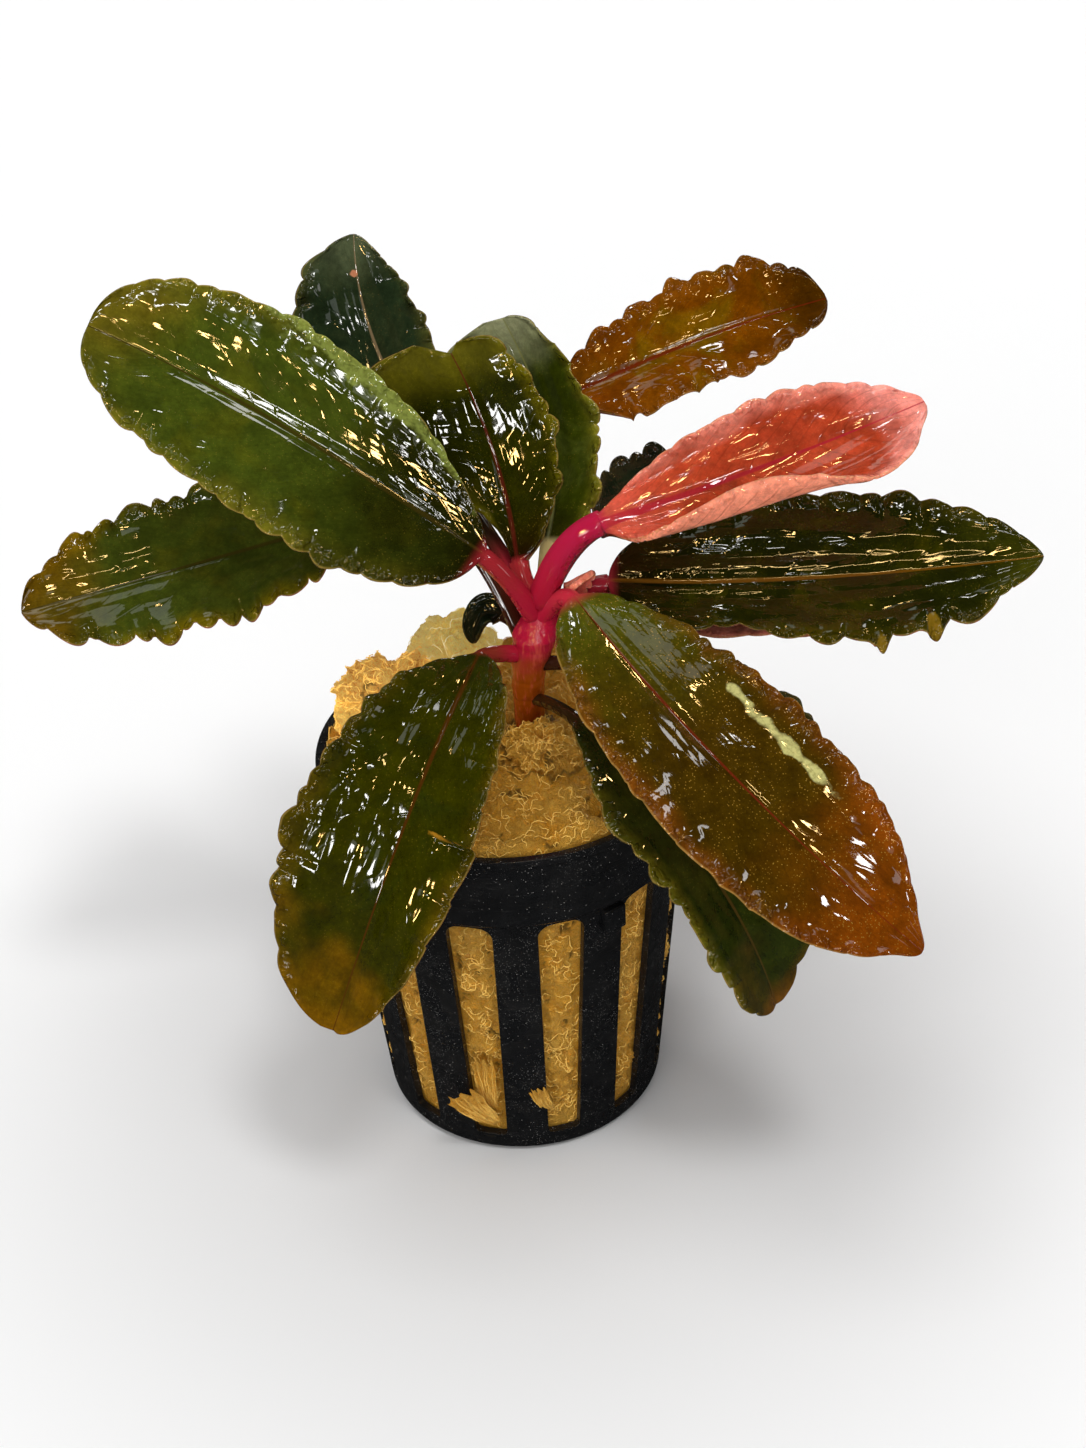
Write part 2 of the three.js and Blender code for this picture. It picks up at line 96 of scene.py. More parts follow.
class Graph:
    """Adds nodes to one tree and links them.

    A value given to an input is linked where it is a socket, and set where it is a number or a colour.
    """

    def __init__(self, tree: bpy.types.NodeTree) -> None:
        """Works on the given tree."""
        self.tree = tree

    def node(self, kind: str, inputs: dict | None = None, **settings: str | bool) -> bpy.types.Node:
        """Adds a node.

        Args:
            kind: Its Blender type.
            inputs: Values or sockets by input name or number.
            settings: Properties of the node.

        Returns:
            The new node.
        """
        made = self.tree.nodes.new(kind)
        for name, value in settings.items():
            setattr(made, name, value)
        for name, value in (inputs or {}).items():
            self.put(value, made.inputs[name])
        return made

    def put(self, value: Value, socket: Socket) -> None:
        """Links or sets one input.

        Args:
            value: A socket to link, or a number or colour to set.
            socket: The input.
        """
        if isinstance(value, bpy.types.NodeSocket):
            self.tree.links.new(value, socket)
        else:
            socket.default_value = value

    def math(self, operation: str, a: Value, b: Value = 0.0, c: Value = 0.0, clamp: bool = False) -> Socket:
        """A Math node's result."""
        made = self.node("ShaderNodeMath", {0: a, 1: b, 2: c}, operation=operation, use_clamp=clamp)
        return made.outputs[0]

    def times(self, a: Value, b: Value, clamp: bool = False) -> Socket:
        """Two values multiplied."""
        return self.math("MULTIPLY", a, b, clamp=clamp)

    def plus(self, a: Value, b: Value) -> Socket:
        """Two values added."""
        return self.math("ADD", a, b)

    def minus(self, a: Value, b: Value) -> Socket:
        """The first value less the second."""
        return self.math("SUBTRACT", a, b)

    def ramp(
        self, value: Value, low: Value, high: Value, to_low: float = 0.0, to_high: float = 1.0
    ) -> Socket:
        """A smooth step from to_low at low to to_high at high."""
        inputs = {"Value": value, "From Min": low, "From Max": high, "To Min": to_low, "To Max": to_high}
        return self.node("ShaderNodeMapRange", inputs, interpolation_type="SMOOTHSTEP").outputs[0]

    def blend(self, factor: Value, a: Value, b: Value, how: str = "MIX") -> Socket:
        """Two colours mixed, with the factor as the second one's share."""
        inputs = {0: factor, 6: a, 7: b}
        return self.node("ShaderNodeMix", inputs, data_type="RGBA", blend_type=how).outputs[2]

    def grey(self, value: Value) -> Socket:
        """A value as a grey colour."""
        return self.node("ShaderNodeCombineColor", {0: value, 1: value, 2: value}).outputs[0]

    def noise(
        self, vector: Value, scale: float, detail: float = 2.0, rough: float = 0.5, warp: float = 0.0
    ) -> Socket:
        """A Noise texture's factor, at `scale` cells per unit of the vector."""
        inputs = {"Vector": vector, "Scale": scale, "Detail": detail, "Roughness": rough, "Distortion": warp}
        return self.node("ShaderNodeTexNoise", inputs).outputs["Fac"]

    def cells(self, vector: Value, scale: float) -> Socket:
        """The distance from the nearest of the points of a Voronoi texture."""
        return self.node("ShaderNodeTexVoronoi", {"Vector": vector, "Scale": scale}).outputs["Distance"]

    def attribute(self, name: str) -> list[Socket]:
        """The three parts of a vector attribute of the mesh."""
        read = self.node("ShaderNodeAttribute", attribute_name=name).outputs["Vector"]
        return list(self.node("ShaderNodeSeparateXYZ", {0: read}).outputs)

    def join(self, x: Value, y: Value = 0.0, z: Value = 0.0) -> Socket:
        """A vector from three values."""
        return self.node("ShaderNodeCombineXYZ", {0: x, 1: y, 2: z}).outputs[0]

    def stretched(self, vector: Value, scale: Triple) -> Socket:
        """A vector scaled along each axis."""
        return self.node("ShaderNodeMapping", {0: vector, 3: scale}).outputs[0]

    def place(self) -> Socket:
        """The point on the object, in millimetres."""
        where = self.node("ShaderNodeTexCoord").outputs["Object"]
        return self.node("ShaderNodeVectorMath", {0: where, 3: 1 / MM}, operation="SCALE").outputs[0]


class Effect:
    """A node group that several materials share, built once, with relief in millimetres."""

    NAME = ""
    COLOURS: tuple[str, ...] = ()
    VALUES: tuple[str, ...] = ()
    OUTPUTS = {"Color": "NodeSocketColor", "Roughness": "NodeSocketFloat", "Height": "NodeSocketFloat"}

    @classmethod
    def tree(cls) -> bpy.types.NodeTree:
        """Makes the group on first use.

        Returns:
            The group.
        """
        made = bpy.data.node_groups.get(cls.NAME)
        if made is None:
            made = bpy.data.node_groups.new(cls.NAME, "ShaderNodeTree")
            for kind, names in (("NodeSocketColor", cls.COLOURS), ("NodeSocketFloat", cls.VALUES)):
                for name in names:
                    made.interface.new_socket(name, in_out="INPUT", socket_type=kind)
            for name, kind in cls.OUTPUTS.items():
                made.interface.new_socket(name, in_out="OUTPUT", socket_type=kind)
            graph = Graph(made)
            given = graph.node("NodeGroupInput").outputs
            cls.fill(graph, given, graph.node("NodeGroupOutput").inputs)
        return made

    @classmethod
    def fill(cls, graph: Graph, given: bpy.types.NodeOutputs, results: bpy.types.NodeInputs) -> None:
        """Builds the group's inside.

        Args:
            graph: The group's nodes.
            given: What the group is given, by name.
            results: Where its results go, by name.
        """
        raise NotImplementedError

    @classmethod
    def use(cls, graph: Graph, **values: Value) -> bpy.types.Node:
        """Adds the group to a tree.

        Args:
            graph: The tree's nodes.
            values: The group's inputs, by name.

        Returns:
            The group's node.
        """
        made = graph.node("ShaderNodeGroup")
        made.node_tree = cls.tree()
        for name, value in values.items():
            graph.put(value, made.inputs[name])
        return made


def new_material(name: str) -> tuple[bpy.types.Material, Graph, bpy.types.Node]:
    """Starts a material.

    Args:
        name: Its name.

    Returns:
        The material, its nodes and its shader.
    """
    made = bpy.data.materials.new(name)
    made.use_nodes = True
    return made, Graph(made.node_tree), made.node_tree.nodes["Principled BSDF"]


def dress(graph: Graph, shader: bpy.types.Node, effect: bpy.types.Node) -> None:
    """Gives a shader the colour, the roughness and the relief of an effect.

    Args:
        graph: The material's nodes.
        shader: The material's shader.
        effect: The effect's node, whose relief is in millimetres.
    """
    inputs = {"Height": effect.outputs["Height"], "Distance": MM, "Strength": 1.0}
    relief = graph.node("ShaderNodeBump", inputs)
    graph.put(effect.outputs["Color"], shader.inputs["Base Color"])
    graph.put(effect.outputs["Roughness"], shader.inputs["Roughness"])
    graph.put(relief.outputs[0], shader.inputs["Normal"])


class LeafTissue(Effect):
    """Colour, gloss and relief of a wet leaf, laid out along its rib.

    The mesh gives `leaf` (side -1 to 1, place along 0 to 1, 1 on the underside) and `span`
    (distance from the rib and along it in millimetres, share of the full width).
    """

    NAME = "leaf_tissue"
    COLOURS = ("Centre", "Patch", "Margin", "Neck", "Tip", "Rib", "Stalk", "Root", "Under", "Torn", "Pale")
    VALUES = (
        "Margin Reach", "Neck Reach", "Tip Reach", "Rib Width", "Veins", "Vein Shade", "Specks", "Glint",
        "Ripple",
    )
    GOLD = colour(196, 160, 66)
    STRAW = colour(205, 170, 90)

    @classmethod
    def fill(cls, graph: Graph, given: bpy.types.NodeOutputs, results: bpy.types.NodeInputs) -> None:
        """Builds the group's inside.

        Args:
            graph: The group's nodes.
            given: What the group is given, by name.
            results: Where its results go, by name.
        """
        side, along, under = graph.attribute("leaf")
        across, length, _ = graph.attribute("span")
        reach = graph.math("ABSOLUTE", side)
        away = graph.math("ABSOLUTE", across)
        place = graph.place()
        broad = graph.noise(place, 0.09, 3.0)
        middle = graph.noise(place, 0.35, 3.0, 0.6)
        loose = graph.minus(broad, 0.5)

        # Side veins leave the rib towards the tip; `lane` counts them
        slant = graph.times(graph.math("POWER", reach, 1.3), 0.3)
        course = graph.minus(along, slant)
        waver = graph.times(loose, 0.12)
        course = graph.plus(course, waver)
        lane = graph.times(course, given["Veins"])
        saw = graph.math("ABSOLUTE", graph.minus(graph.math("FRACT", lane), 0.5))
        vein = graph.times(graph.ramp(saw, 0.1, 0.0), graph.ramp(reach, 0.96, 0.75))
        fine_place = graph.join(graph.times(lane, 9.0), graph.times(away, 0.35), side)
        fine = graph.noise(fine_place, 1.0, 2.0, 0.6)

        # Colour from the rib to the margin and from the neck to the tip
        far = graph.plus(reach, graph.times(loose, 0.7))
        edge_from = graph.minus(1.05, given["Margin Reach"])
        paint = graph.blend(graph.ramp(far, edge_from, 1.08), given["Centre"], given["Margin"])
        patchy = graph.ramp(graph.noise(place, 0.13, 4.0, 0.62, 0.6), 0.48, 0.7)
        paint = graph.blend(graph.times(patchy, 0.75), paint, given["Patch"])
        up = graph.plus(along, graph.times(loose, 0.5))
        tip_from = graph.minus(1.0, given["Tip Reach"])
        paint = graph.blend(graph.ramp(up, tip_from, 1.05), paint, given["Tip"])
        paint = graph.blend(graph.ramp(up, given["Neck Reach"], -0.05), paint, given["Neck"])

        # Mottling, fine veins, hairlines and pale specks
        tone = graph.times(graph.ramp(middle, 0.3, 0.72, 0.8, 1.22), graph.ramp(fine, 0.35, 0.7, 0.95, 1.06))
        grain = graph.noise(place, 1.7, 3.0, 0.7)
        tone = graph.times(tone, graph.ramp(grain, 0.32, 0.68, 0.88, 1.14))
        hairline = graph.math("ABSOLUTE", graph.minus(graph.noise(place, 0.8, 2.0, 0.5, 1.2), 0.5))
        tone = graph.times(tone, graph.ramp(hairline, 0.012, 0.0, 1.0, 1.22))
        tone = graph.times(tone, graph.minus(1.0, graph.times(vein, given["Vein Shade"])))
        shade = graph.grey(tone)
        paint = graph.blend(1.0, paint, shade, "MULTIPLY")
        speck = graph.ramp(graph.cells(place, 2.7), 0.27, 0.1)
        speck = graph.times(speck, graph.ramp(middle, 0.4, 0.58))
        speck = graph.times(speck, given["Specks"], clamp=True)
        gold = graph.blend(0.5, given["Margin"], cls.GOLD)
        paint = graph.blend(speck, paint, gold)

        # The rib, and the thin pale line of the margin
        thin = graph.times(given["Rib Width"], graph.ramp(along, 1.0, 0.0, 0.35, 1.5))
        ribbed = graph.ramp(away, graph.times(thin, 1.7), graph.times(thin, 0.6))
        paint = graph.blend(graph.times(ribbed, 0.8), paint, given["Rib"])
        line = graph.times(graph.ramp(reach, 0.975, 0.995), 0.6)
        paint = graph.blend(line, paint, graph.blend(0.5, given["Margin"], cls.STRAW))

        # Torn places, and pale bands of painted sheen: reflections on the wet skin painted into its colour
        torn, pale, _ = graph.attribute("marks")
        ragged = graph.math("MULTIPLY_ADD", graph.minus(middle, 0.5), 0.7, pale)
        painted_sheen = graph.times(graph.ramp(ragged, 0.3, 0.62), graph.ramp(pale, 0.05, 0.3))
        painted_sheen = graph.times(painted_sheen, graph.ramp(grain, 0.3, 0.6, 0.55, 0.95))
        paint = graph.blend(painted_sheen, paint, given["Pale"])
        paint = graph.blend(graph.ramp(torn, 0.08, 0.3), paint, given["Torn"])

        # Underside and stalk
        below = graph.blend(graph.times(vein, 0.4), given["Under"], given["Centre"])
        below = graph.blend(1.0, below, shade, "MULTIPLY")
        below = graph.blend(graph.times(ribbed, 0.7), below, given["Rib"])
        paint = graph.blend(graph.ramp(under, 0.3, 0.7), paint, below)
        paint = graph.blend(graph.ramp(along, 0.03, -0.01), paint, given["Stalk"])
        paint = graph.blend(graph.ramp(along, -0.04, -0.1), paint, given["Root"])
        graph.put(paint, results["Color"])

        # Roughness, with a few places less wet
        drying = graph.noise(place, 0.5, 3.0, 0.6)
        graph.put(graph.ramp(drying, 0.5, 0.75, 0.04, 0.09), results["Roughness"])

        # Relief in millimetres, with fine cords near the neck where the glints gather
        on_blade = graph.ramp(along, 0.0, 0.05)
        furrow = graph.times(vein, -0.006)
        glinting = graph.times(graph.ramp(along, 0.6, 0.05), graph.ramp(middle, 0.38, 0.52))
        glinting = graph.times(glinting, given["Glint"])
        rays = graph.join(graph.times(across, 1.3), graph.times(length, 0.16), 7.0)
        ray = graph.minus(graph.noise(rays, 1.0, 1.0, 0.5, 0.3), 0.5)
        cord = graph.math("MULTIPLY_ADD", glinting, 0.14, 0.01)
        corded = graph.times(ray, cord)
        relief = graph.times(graph.plus(furrow, corded), on_blade)
        water = graph.noise(place, 0.22, 1.0, 0.4, 0.3)
        wavy = graph.times(given["Ripple"], graph.ramp(reach, 0.5, 1.0, 0.04, 0.3))
        relief = graph.math("MULTIPLY_ADD", water, wavy, relief)
        lengthwise = graph.join(graph.times(across, 0.6), graph.times(length, 0.12), 3.0)
        pleats = graph.times(graph.noise(lengthwise, 1.0, 1.0, 0.4, 0.3), given["Ripple"])
        relief = graph.math("MULTIPLY_ADD", pleats, 0.2, relief)
        film = graph.times(graph.noise(place, 0.9, 1.0, 0.5), 0.007)
        bead = graph.ramp(graph.noise(place, 0.95, 1.0, 0.4), 0.46, 0.72)
        beads = graph.times(bead, graph.ramp(reach, 0.8, 0.96, 0.0, 0.34))
        relief = graph.plus(relief, graph.plus(film, beads))
        graph.put(relief, results["Height"])


@dataclass(frozen=True)
class LeafTint:
    """The finish of one leaf: its colours, how far each reaches, and how much it bends and scatters light."""

    centre: Triple = (44, 56, 22)
    patch: Triple = (66, 74, 26)
    margin: Triple = (104, 96, 28)
    neck: Triple = (72, 52, 16)
    tip: Triple = (96, 86, 26)
    rib: Triple = (120, 84, 40)
    stalk: Triple = (168, 52, 40)
    root: Triple = (170, 24, 50)
    under: Triple = (120, 72, 58)
    torn: Triple = (190, 132, 24)
    # pale: the colour of the bands of painted sheen that PALE marks lay on the blade
    pale: Triple = (176, 170, 84)
    margin_reach: float = 0.35
    neck_reach: float = 0.3
    tip_reach: float = 0.25
    rib_width: float = 0.22
    veins: float = 14.0
    vein_shade: float = 0.06
    specks: float = 0.1
    glint: float = 0.5
    ripple: float = 1.0
    bending: float = 1.45
    glow: float = 0.0
    glow_tint: Triple = (1.0, 0.35, 0.2)
    glow_reach: float = 1.2

    def material(self, name: str) -> bpy.types.Material:
        """Makes the wet leaf's material in these colours.

        Args:
            name: The material's name.

        Returns:
            The material.
        """
        made, graph, shader = new_material(name)
        paints = {key: colour(*getattr(self, key.lower())) for key in LeafTissue.COLOURS}
        sizes = {key: getattr(self, key.lower().replace(" ", "_")) for key in LeafTissue.VALUES}
        dress(graph, shader, LeafTissue.use(graph, **paints, **sizes))
        shader.inputs["IOR"].default_value = self.bending
        shader.inputs["Subsurface Weight"].default_value = self.glow
        shader.inputs["Subsurface Radius"].default_value = self.glow_tint
        shader.inputs["Subsurface Scale"].default_value = self.glow_reach * MM
        return made


# Meshes

Spots = list[tuple[bmesh.types.BMVert, float, float]]


def placed(name: str, data: bpy.types.ID) -> bpy.types.Object:
    """Adds an object to the scene.

    Args:
        name: Its name.
        data: Its mesh, curve, light or camera.

    Returns:
        The object.
    """
    made = bpy.data.objects.new(name, data)
    bpy.context.scene.collection.objects.link(made)
    return made


def finished(name: str, mesh: bmesh.types.BMesh, material: bpy.types.Material) -> bpy.types.Object:
    """Writes a mesh that is in millimetres as a smooth object that rides on the plant's body.

    Args:
        name: The piece's name.
        mesh: Its faces, in the frame's axes.
        material: Its material.

    Returns:
        The new object, at the origin.
    """
    bmesh.ops.scale(mesh, vec=(MM, MM, MM), verts=mesh.verts)
    for face in mesh.faces:
        face.smooth = True
    data = bpy.data.meshes.new(name)
    mesh.to_mesh(data)
    mesh.free()
    data.materials.append(material)
    made = placed(name, data)
    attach(made, "root")
    return made


def grid(columns: int, rows: int, layers: tuple[str, ...] = ()) -> tuple[bmesh.types.BMesh, Spots]:
    """Starts a mesh as a flat grid.

    Args:
        columns: Its faces across.
        rows: Its faces along.
        layers: Names of the vector attributes that its vertices get.

    Returns:
        The mesh, and each vertex with its place across and along from 0 to 1.
    """
    mesh = bmesh.new()
    for name in layers:
        mesh.verts.layers.float_vector.new(name)
    bmesh.ops.create_grid(mesh, x_segments=columns, y_segments=rows, size=1.0)
    return mesh, [(v, (v.co.x + 1) / 2, (v.co.y + 1) / 2) for v in mesh.verts]


def seal(mesh: bmesh.types.BMesh) -> None:
    """Closes a wrapped grid's seam and poles and turns its faces outwards.

    Args:
        mesh: The grid, in millimetres.
    """
    bmesh.ops.remove_doubles(mesh, verts=mesh.verts, dist=MERGE)
    bmesh.ops.dissolve_degenerate(mesh, edges=mesh.edges, dist=MERGE / 10)
    bmesh.ops.recalc_face_normals(mesh, faces=mesh.faces)


def bezier(start: Vector, pull: Vector, end: Vector, t: float) -> tuple[Vector, Vector]:
    """A place on a quadratic curve.

    Args:
        start: The curve's start.
        pull: The point that bends it.
        end: Its end.
        t: The place, 0 to 1.

    Returns:
        The point and the unit direction there.
    """
    point = start * (1 - t) ** 2 + pull * (2 * t * (1 - t)) + end * t * t
    way = (pull - start) * (1 - t) + (end - pull) * t
    return point, way.normalized()


# Leaves


BLADE_THICKNESS = 0.6
OVAL = 2.2
NECK_FADE = 6
STALK_REACH = 0.4
STALK_SHARE = 0.12
LOBES_A_WAVE = 1.45
UPPER_SHARE = 0.64


@dataclass(frozen=True)
class Bump:
    """A local change of a leaf's form round one place of its blade.

    It is on side -1 (left), 1 (right) or 0 (both), at a place along the blade and over a reach of it,
    and grows from the rib to the margin with the power. It moves the margin out, lifts the blade and
    moves it towards the tip, in millimetres.
    """

    side: int
    at: float
    reach: float
    out: float = 0.0
    up: float = 0.0
    power: float = 2.0
    fore: float = 0.0

    def share(self, t: float, side: float) -> float:
        """How much of the change acts at a place.

        Args:
            t: Place along the blade, 0 to 1.
            side: -1 at the left margin to 1 at the right.

        Returns:
            A share from 0 to 1.
        """
        if self.side and side * self.side <= 0:
            return 0.0
        return math.exp(-(((t - self.at) / self.reach) ** 2)) * abs(side) ** self.power


class Shade(Enum):
    """What marks a leaf, by its number in the mesh's `marks` attribute."""

    TORN = 0
    # PALE: a pale band of painted sheen, a reflection painted into the leaf's colour
    PALE = 1


@dataclass(frozen=True)
class Mark:
    """A torn place of a blade, or a pale band of painted sheen on it: its middle, and its half sizes across
    and along.
    """

    shade: Shade
    side: float
    at: float
    width: float
    reach: float

    def share(self, t: float, side: float) -> float:
        """1 in its middle to 0 at its edge."""
        return max(1 - math.hypot((side - self.side) / self.width, (t - self.at) / self.reach), 0.0)


@dataclass(frozen=True)
class Tear:
    """A cut across one side of a blade, past which the blade hangs lower for a while."""

    side: int
    at: float
    inner: float
    drop: float
    fade: float = 0.1
    lip: float = 0.003

    def sink(self, t: float, side: float) -> float:
        """How far the blade hangs down at a place.

        Args:
            t: Place along the blade, 0 to 1.
            side: -1 at the left margin to 1 at the right.

        Returns:
            The distance in millimetres.
        """
        if side * self.side <= self.inner or t < self.at - self.lip:
            return 0.0
        cut = smooth(t, self.at - self.lip, self.at + self.lip)
        healed = math.exp(-max(t - self.at, 0.0) / self.fade)
        return self.drop * cut * healed * smooth(abs(side), self.inner, 1.0)


@dataclass
class Leaf:
    """One leaf: a stalk and a blade with a ruffled margin, as laid out in the CAD source.

    The rib runs root, neck, belly, tip. Pairs are the left and the right side looking from neck to tip.
    """

    name: str
    root: Triple
    neck: Triple
    belly: Triple
    tip: Triple
    face: Triple
    half: Pair
    widest: Pair
    fold: Pair
    curl: Pair
    ruffle: float
    waves: int
    blunt: Pair
    stalk: Pair
    tint: LeafTint = field(default_factory=LeafTint)
    bend: Triple | None = None
    face2: Triple | None = None
    fold2: Pair | None = None
    curl2: Pair | None = None
    scallop: Pair = (0.8, 0.8)
    quilt: float = 0.02
    swell: float = 0.4
    pleat: float = 0.35
    frill: float = 1.0
    nib: float = 0.0
    groove: Pair = (0.28, 0.55)
    unroll: Pair | None = None
    bumps: tuple[Bump, ...] = ()
    marks: tuple[Mark, ...] = ()
    tear: Tear | None = None
    columns: int = 40
    rows: int = 170
    seed: int = 1

    def __post_init__(self) -> None:
        """Works out the rib's curves and the margin's lobes."""
        self.points = [Vector(p) for p in (self.root, self.neck, self.belly, self.tip)]
        root, neck, belly, tip = self.points
        self.pull = belly * 2 - (neck + tip) / 2
        reach = STALK_REACH * (neck - root).length
        way = bezier(neck, self.pull, tip, 0.0)[1]
        self.stalk_pull = Vector(self.bend) if self.bend else neck - way * reach
        self.length = (belly - neck).length + (tip - belly).length
        draw = random.Random(self.seed)
        self.offset = Vector((draw.uniform(-90, 90), draw.uniform(-90, 90), draw.uniform(-90, 90)))
        self.lobes = [self.lobe_ends(draw) for _ in range(2)]
        self.strength = [
            [self.lobe_strength(ends, i, draw) for i in range(len(ends) - 1)] for ends in self.lobes
        ]
        self.rise = [[draw.uniform(-0.5, 1.0) for _ in ends] for ends in self.lobes]

    def lobe_ends(self, draw: random.Random) -> list[float]:
        """Spaces the margin's lobes unevenly.

        Args:
            draw: The leaf's random draws.

        Returns:
            Where the lobes begin and end, as shares of the blade's length.
        """
        count = round(LOBES_A_WAVE * self.waves)
        jitter = 0.36 / count
        inner = [i / count + draw.uniform(-jitter, jitter) for i in range(1, count)]
        return [0.0, *inner, 1.0]

    def lobe_strength(self, ends: list[float], i: int, draw: random.Random) -> float:
        """How far a lobe stands out: a narrow one less, so that none is pointed."""
        wide = (ends[i + 1] - ends[i]) * (len(ends) - 1)
        return draw.uniform(0.5, 1.3) * min(wide, 1.25) ** 1.5

    def width_share(self, t: float, k: int) -> float:
        """Share of the half width at a place.

        Args:
            t: Place along the blade, 0 to 1.
            k: The side, 0 (left) or 1 (right).

        Returns:
            The share, 0 to 1.
        """
        x = t ** (math.log(0.5) / math.log(self.widest[k]))
        power = mix(self.blunt[0], self.blunt[1], t)
        return max(1 - abs(2 * x - 1) ** OVAL, 0.0) ** power

    def wave(self, t: float, k: int) -> tuple[float, float, float]:
        """How the margin waves at a place.

        Args:
            t: Place along the blade, 0 to 1.
            k: The side, 0 (left) or 1 (right).

        Returns:
            Its broad sway and its crimp's height (about -1 to 1), and its outward bulge (0 to about 1.3).
        """
        ends = self.lobes[k]
        for i in range(len(ends) - 1):
            if t <= ends[i + 1] or i == len(ends) - 2:
                x = (t - ends[i]) / (ends[i + 1] - ends[i])
                arc = math.sin(math.pi * min(max(x, 0.0), 1.0)) ** 0.75
                place = t * self.length
                crimp = noise.noise(Vector((place * 0.5, self.seed, 3.0 + k)))
                sway = noise.noise(Vector((place * 0.17, self.seed, 8.0 + k)))
                height = (arc - 0.55) * (0.3 + self.rise[k][i]) + 0.5 * crimp
                return 1.5 * sway, height, arc * self.strength[k][i] + 0.35 * crimp
        return 0.0, 0.0, 0.0

    def bend_share(self, t: float) -> float:
        """How far fold and curl have changed to their values at the tip."""
        return smooth(t, *self.unroll) if self.unroll else t

    def across(self, t: float, side: float, top: float) -> tuple[float, float, float]:
        """Where a point of the skin lies across the rib.

        Args:
            t: Place along the blade.
            side: -1 at the left margin to 1 at the right.
            top: 1 on the upper skin and -1 on the lower.

        Returns:
            Distance out, distance up and the half width there.
        """
        k = 0 if side < 0 else 1
        a = abs(side)
        share = self.width_share(t, k)
        sway, height, bulge = self.wave(t, k)
        fringe = self.frill * share ** 0.7
        rim = self.scallop[k] * fringe * (bulge - 0.55) * a ** 4
        rim += sum(bump.out * bump.share(t, side) for bump in self.bumps)
        half = self.half[k] * share + self.stalk[1] * (1 - t) ** 2 + rim
        changed = self.bend_share(t)
        fold = math.radians(mix(self.fold[k], (self.fold2 or self.fold)[k], changed))
        neck = (1 - t) ** NECK_FADE
        curl = math.radians(mix(self.curl[k], (self.curl2 or self.curl)[k], changed)) * (1 - neck) or 1e-6
        turn = fold + curl * a
        wave = 1.7 * self.ruffle * fringe * (0.8 * sway * a ** 3 + height * a ** 6)
        wave += sum(bump.up * bump.share(t, side) for bump in self.bumps)
        if self.tear:
            wave -= self.tear.sink(t, side)
        bead = fringe * bulge * min(0.25 + 0.3 * self.scallop[k], 0.6) * math.exp(-(((a - 0.93) / 0.07) ** 2))
        skin = (BLADE_THICKNESS / 2 + bead / 2) * math.sqrt(max(1 - a ** 14, 0.0))
        round_stalk = self.stalk[1] * neck * math.sqrt(max(1 - a * a, 0.0))
        away = a * half
        if top > 0:
            depth, wide = self.groove
            rib = -depth * math.exp(-((away / wide) ** 2)) * smooth(t, 0.02, 0.2) * (1 - 0.4 * t)
        else:
            rib = 0.75 * math.exp(-((away / 0.8) ** 2)) * (1 - 0.75 * t) * smooth(t, 1.0, 0.9)
        thick = (round_stalk + skin + rib) * top + wave
        out = half * (math.sin(turn) - math.sin(fold)) / curl - thick * math.sin(turn)
        up = half * (math.cos(fold) - math.cos(turn)) / curl + thick * math.cos(turn)
        return (out if k else -out), up, half

    def relief(self, t: float, side: float, point: Vector, share: float) -> float:
        """Gentle swelling of the blade, its pleats and the cushions between its side veins.

        Args:
            t: Place along the blade, 0 to 1.
            side: -1 at the left margin to 1 at the right.
            point: The place in the frame, in millimetres.
            share: The width share there.

        Returns:
            How far the skin rises, in millimetres.
        """
        a = abs(side)
        window = smooth(t, 0.0, 0.15) * smooth(t, 1.0, 0.9) * smooth(a, 0.02, 0.3)
        broad = noise.noise((point + self.offset) * 0.11) * self.swell * smooth(a, 0.0, 0.7)
        small = noise.noise((point + self.offset) * 0.32) * self.swell * 0.12
        lane = (t - 0.3 * a ** 1.3) * self.tint.veins
        cushion = abs(math.sin(math.pi * lane)) ** 0.6 * self.quilt * smooth(a, 1.0, 0.7)
        pleats = noise.noise(Vector((side * 3.2, t * 1.6, self.seed))) * self.pleat * smooth(a, 0.05, 0.35)
        return (broad + small + cushion + pleats) * window * share ** 0.5

    def skin_point(self, turn: float, v: float) -> tuple[Vector, tuple[float, ...]]:
        """A point of the leaf's skin.

        Args:
            turn: 0 to 1 round the section: the upper skin from right to left, then the lower skin back.
            v: 0 at the root to 1 at the tip.

        Returns:
            The point, and side, place along, underside, distance out, distance along and width share.
        """
        upper = turn <= UPPER_SHARE
        x = 1 - 2 * turn / UPPER_SHARE if upper else 2 * (turn - UPPER_SHARE) / (1 - UPPER_SHARE) - 1
        side = 0.35 * x + 0.65 * math.sin(math.pi / 2 * x)
        top = 1.0 if upper else -1.0
        root, neck, _, tip = self.points
        face = Vector(self.face)
        if v < STALK_SHARE:
            t = v / STALK_SHARE
            point, along = bezier(root, self.stalk_pull, neck, t)
            up = (face - along * face.dot(along)).normalized()
            thick = mix(self.stalk[0], self.stalk[1], t) + BLADE_THICKNESS / 2 * t ** 3
            if v <= 0:
                return point, (0.0, -STALK_SHARE, 0.0, 0.0, 0.0, 0.0)
            ring = math.sqrt(max(1 - side * side, 0.0)) * top
            out = thick * side
            point = point + along.cross(up) * out + up * thick * ring
            return point, (side, (t - 1) * STALK_SHARE, float(not upper), out, (t - 1) * 8, 0.0)
        x = (v - STALK_SHARE) / (1 - STALK_SHARE)
        t = mix(x, (1 - math.cos(math.pi * x)) / 2, 0.55)
        point, along = bezier(neck, self.pull, tip, t)
        face = face.lerp(Vector(self.face2 or self.face), t)
        up = (face - along * face.dot(along)).normalized()
        if v >= 1:
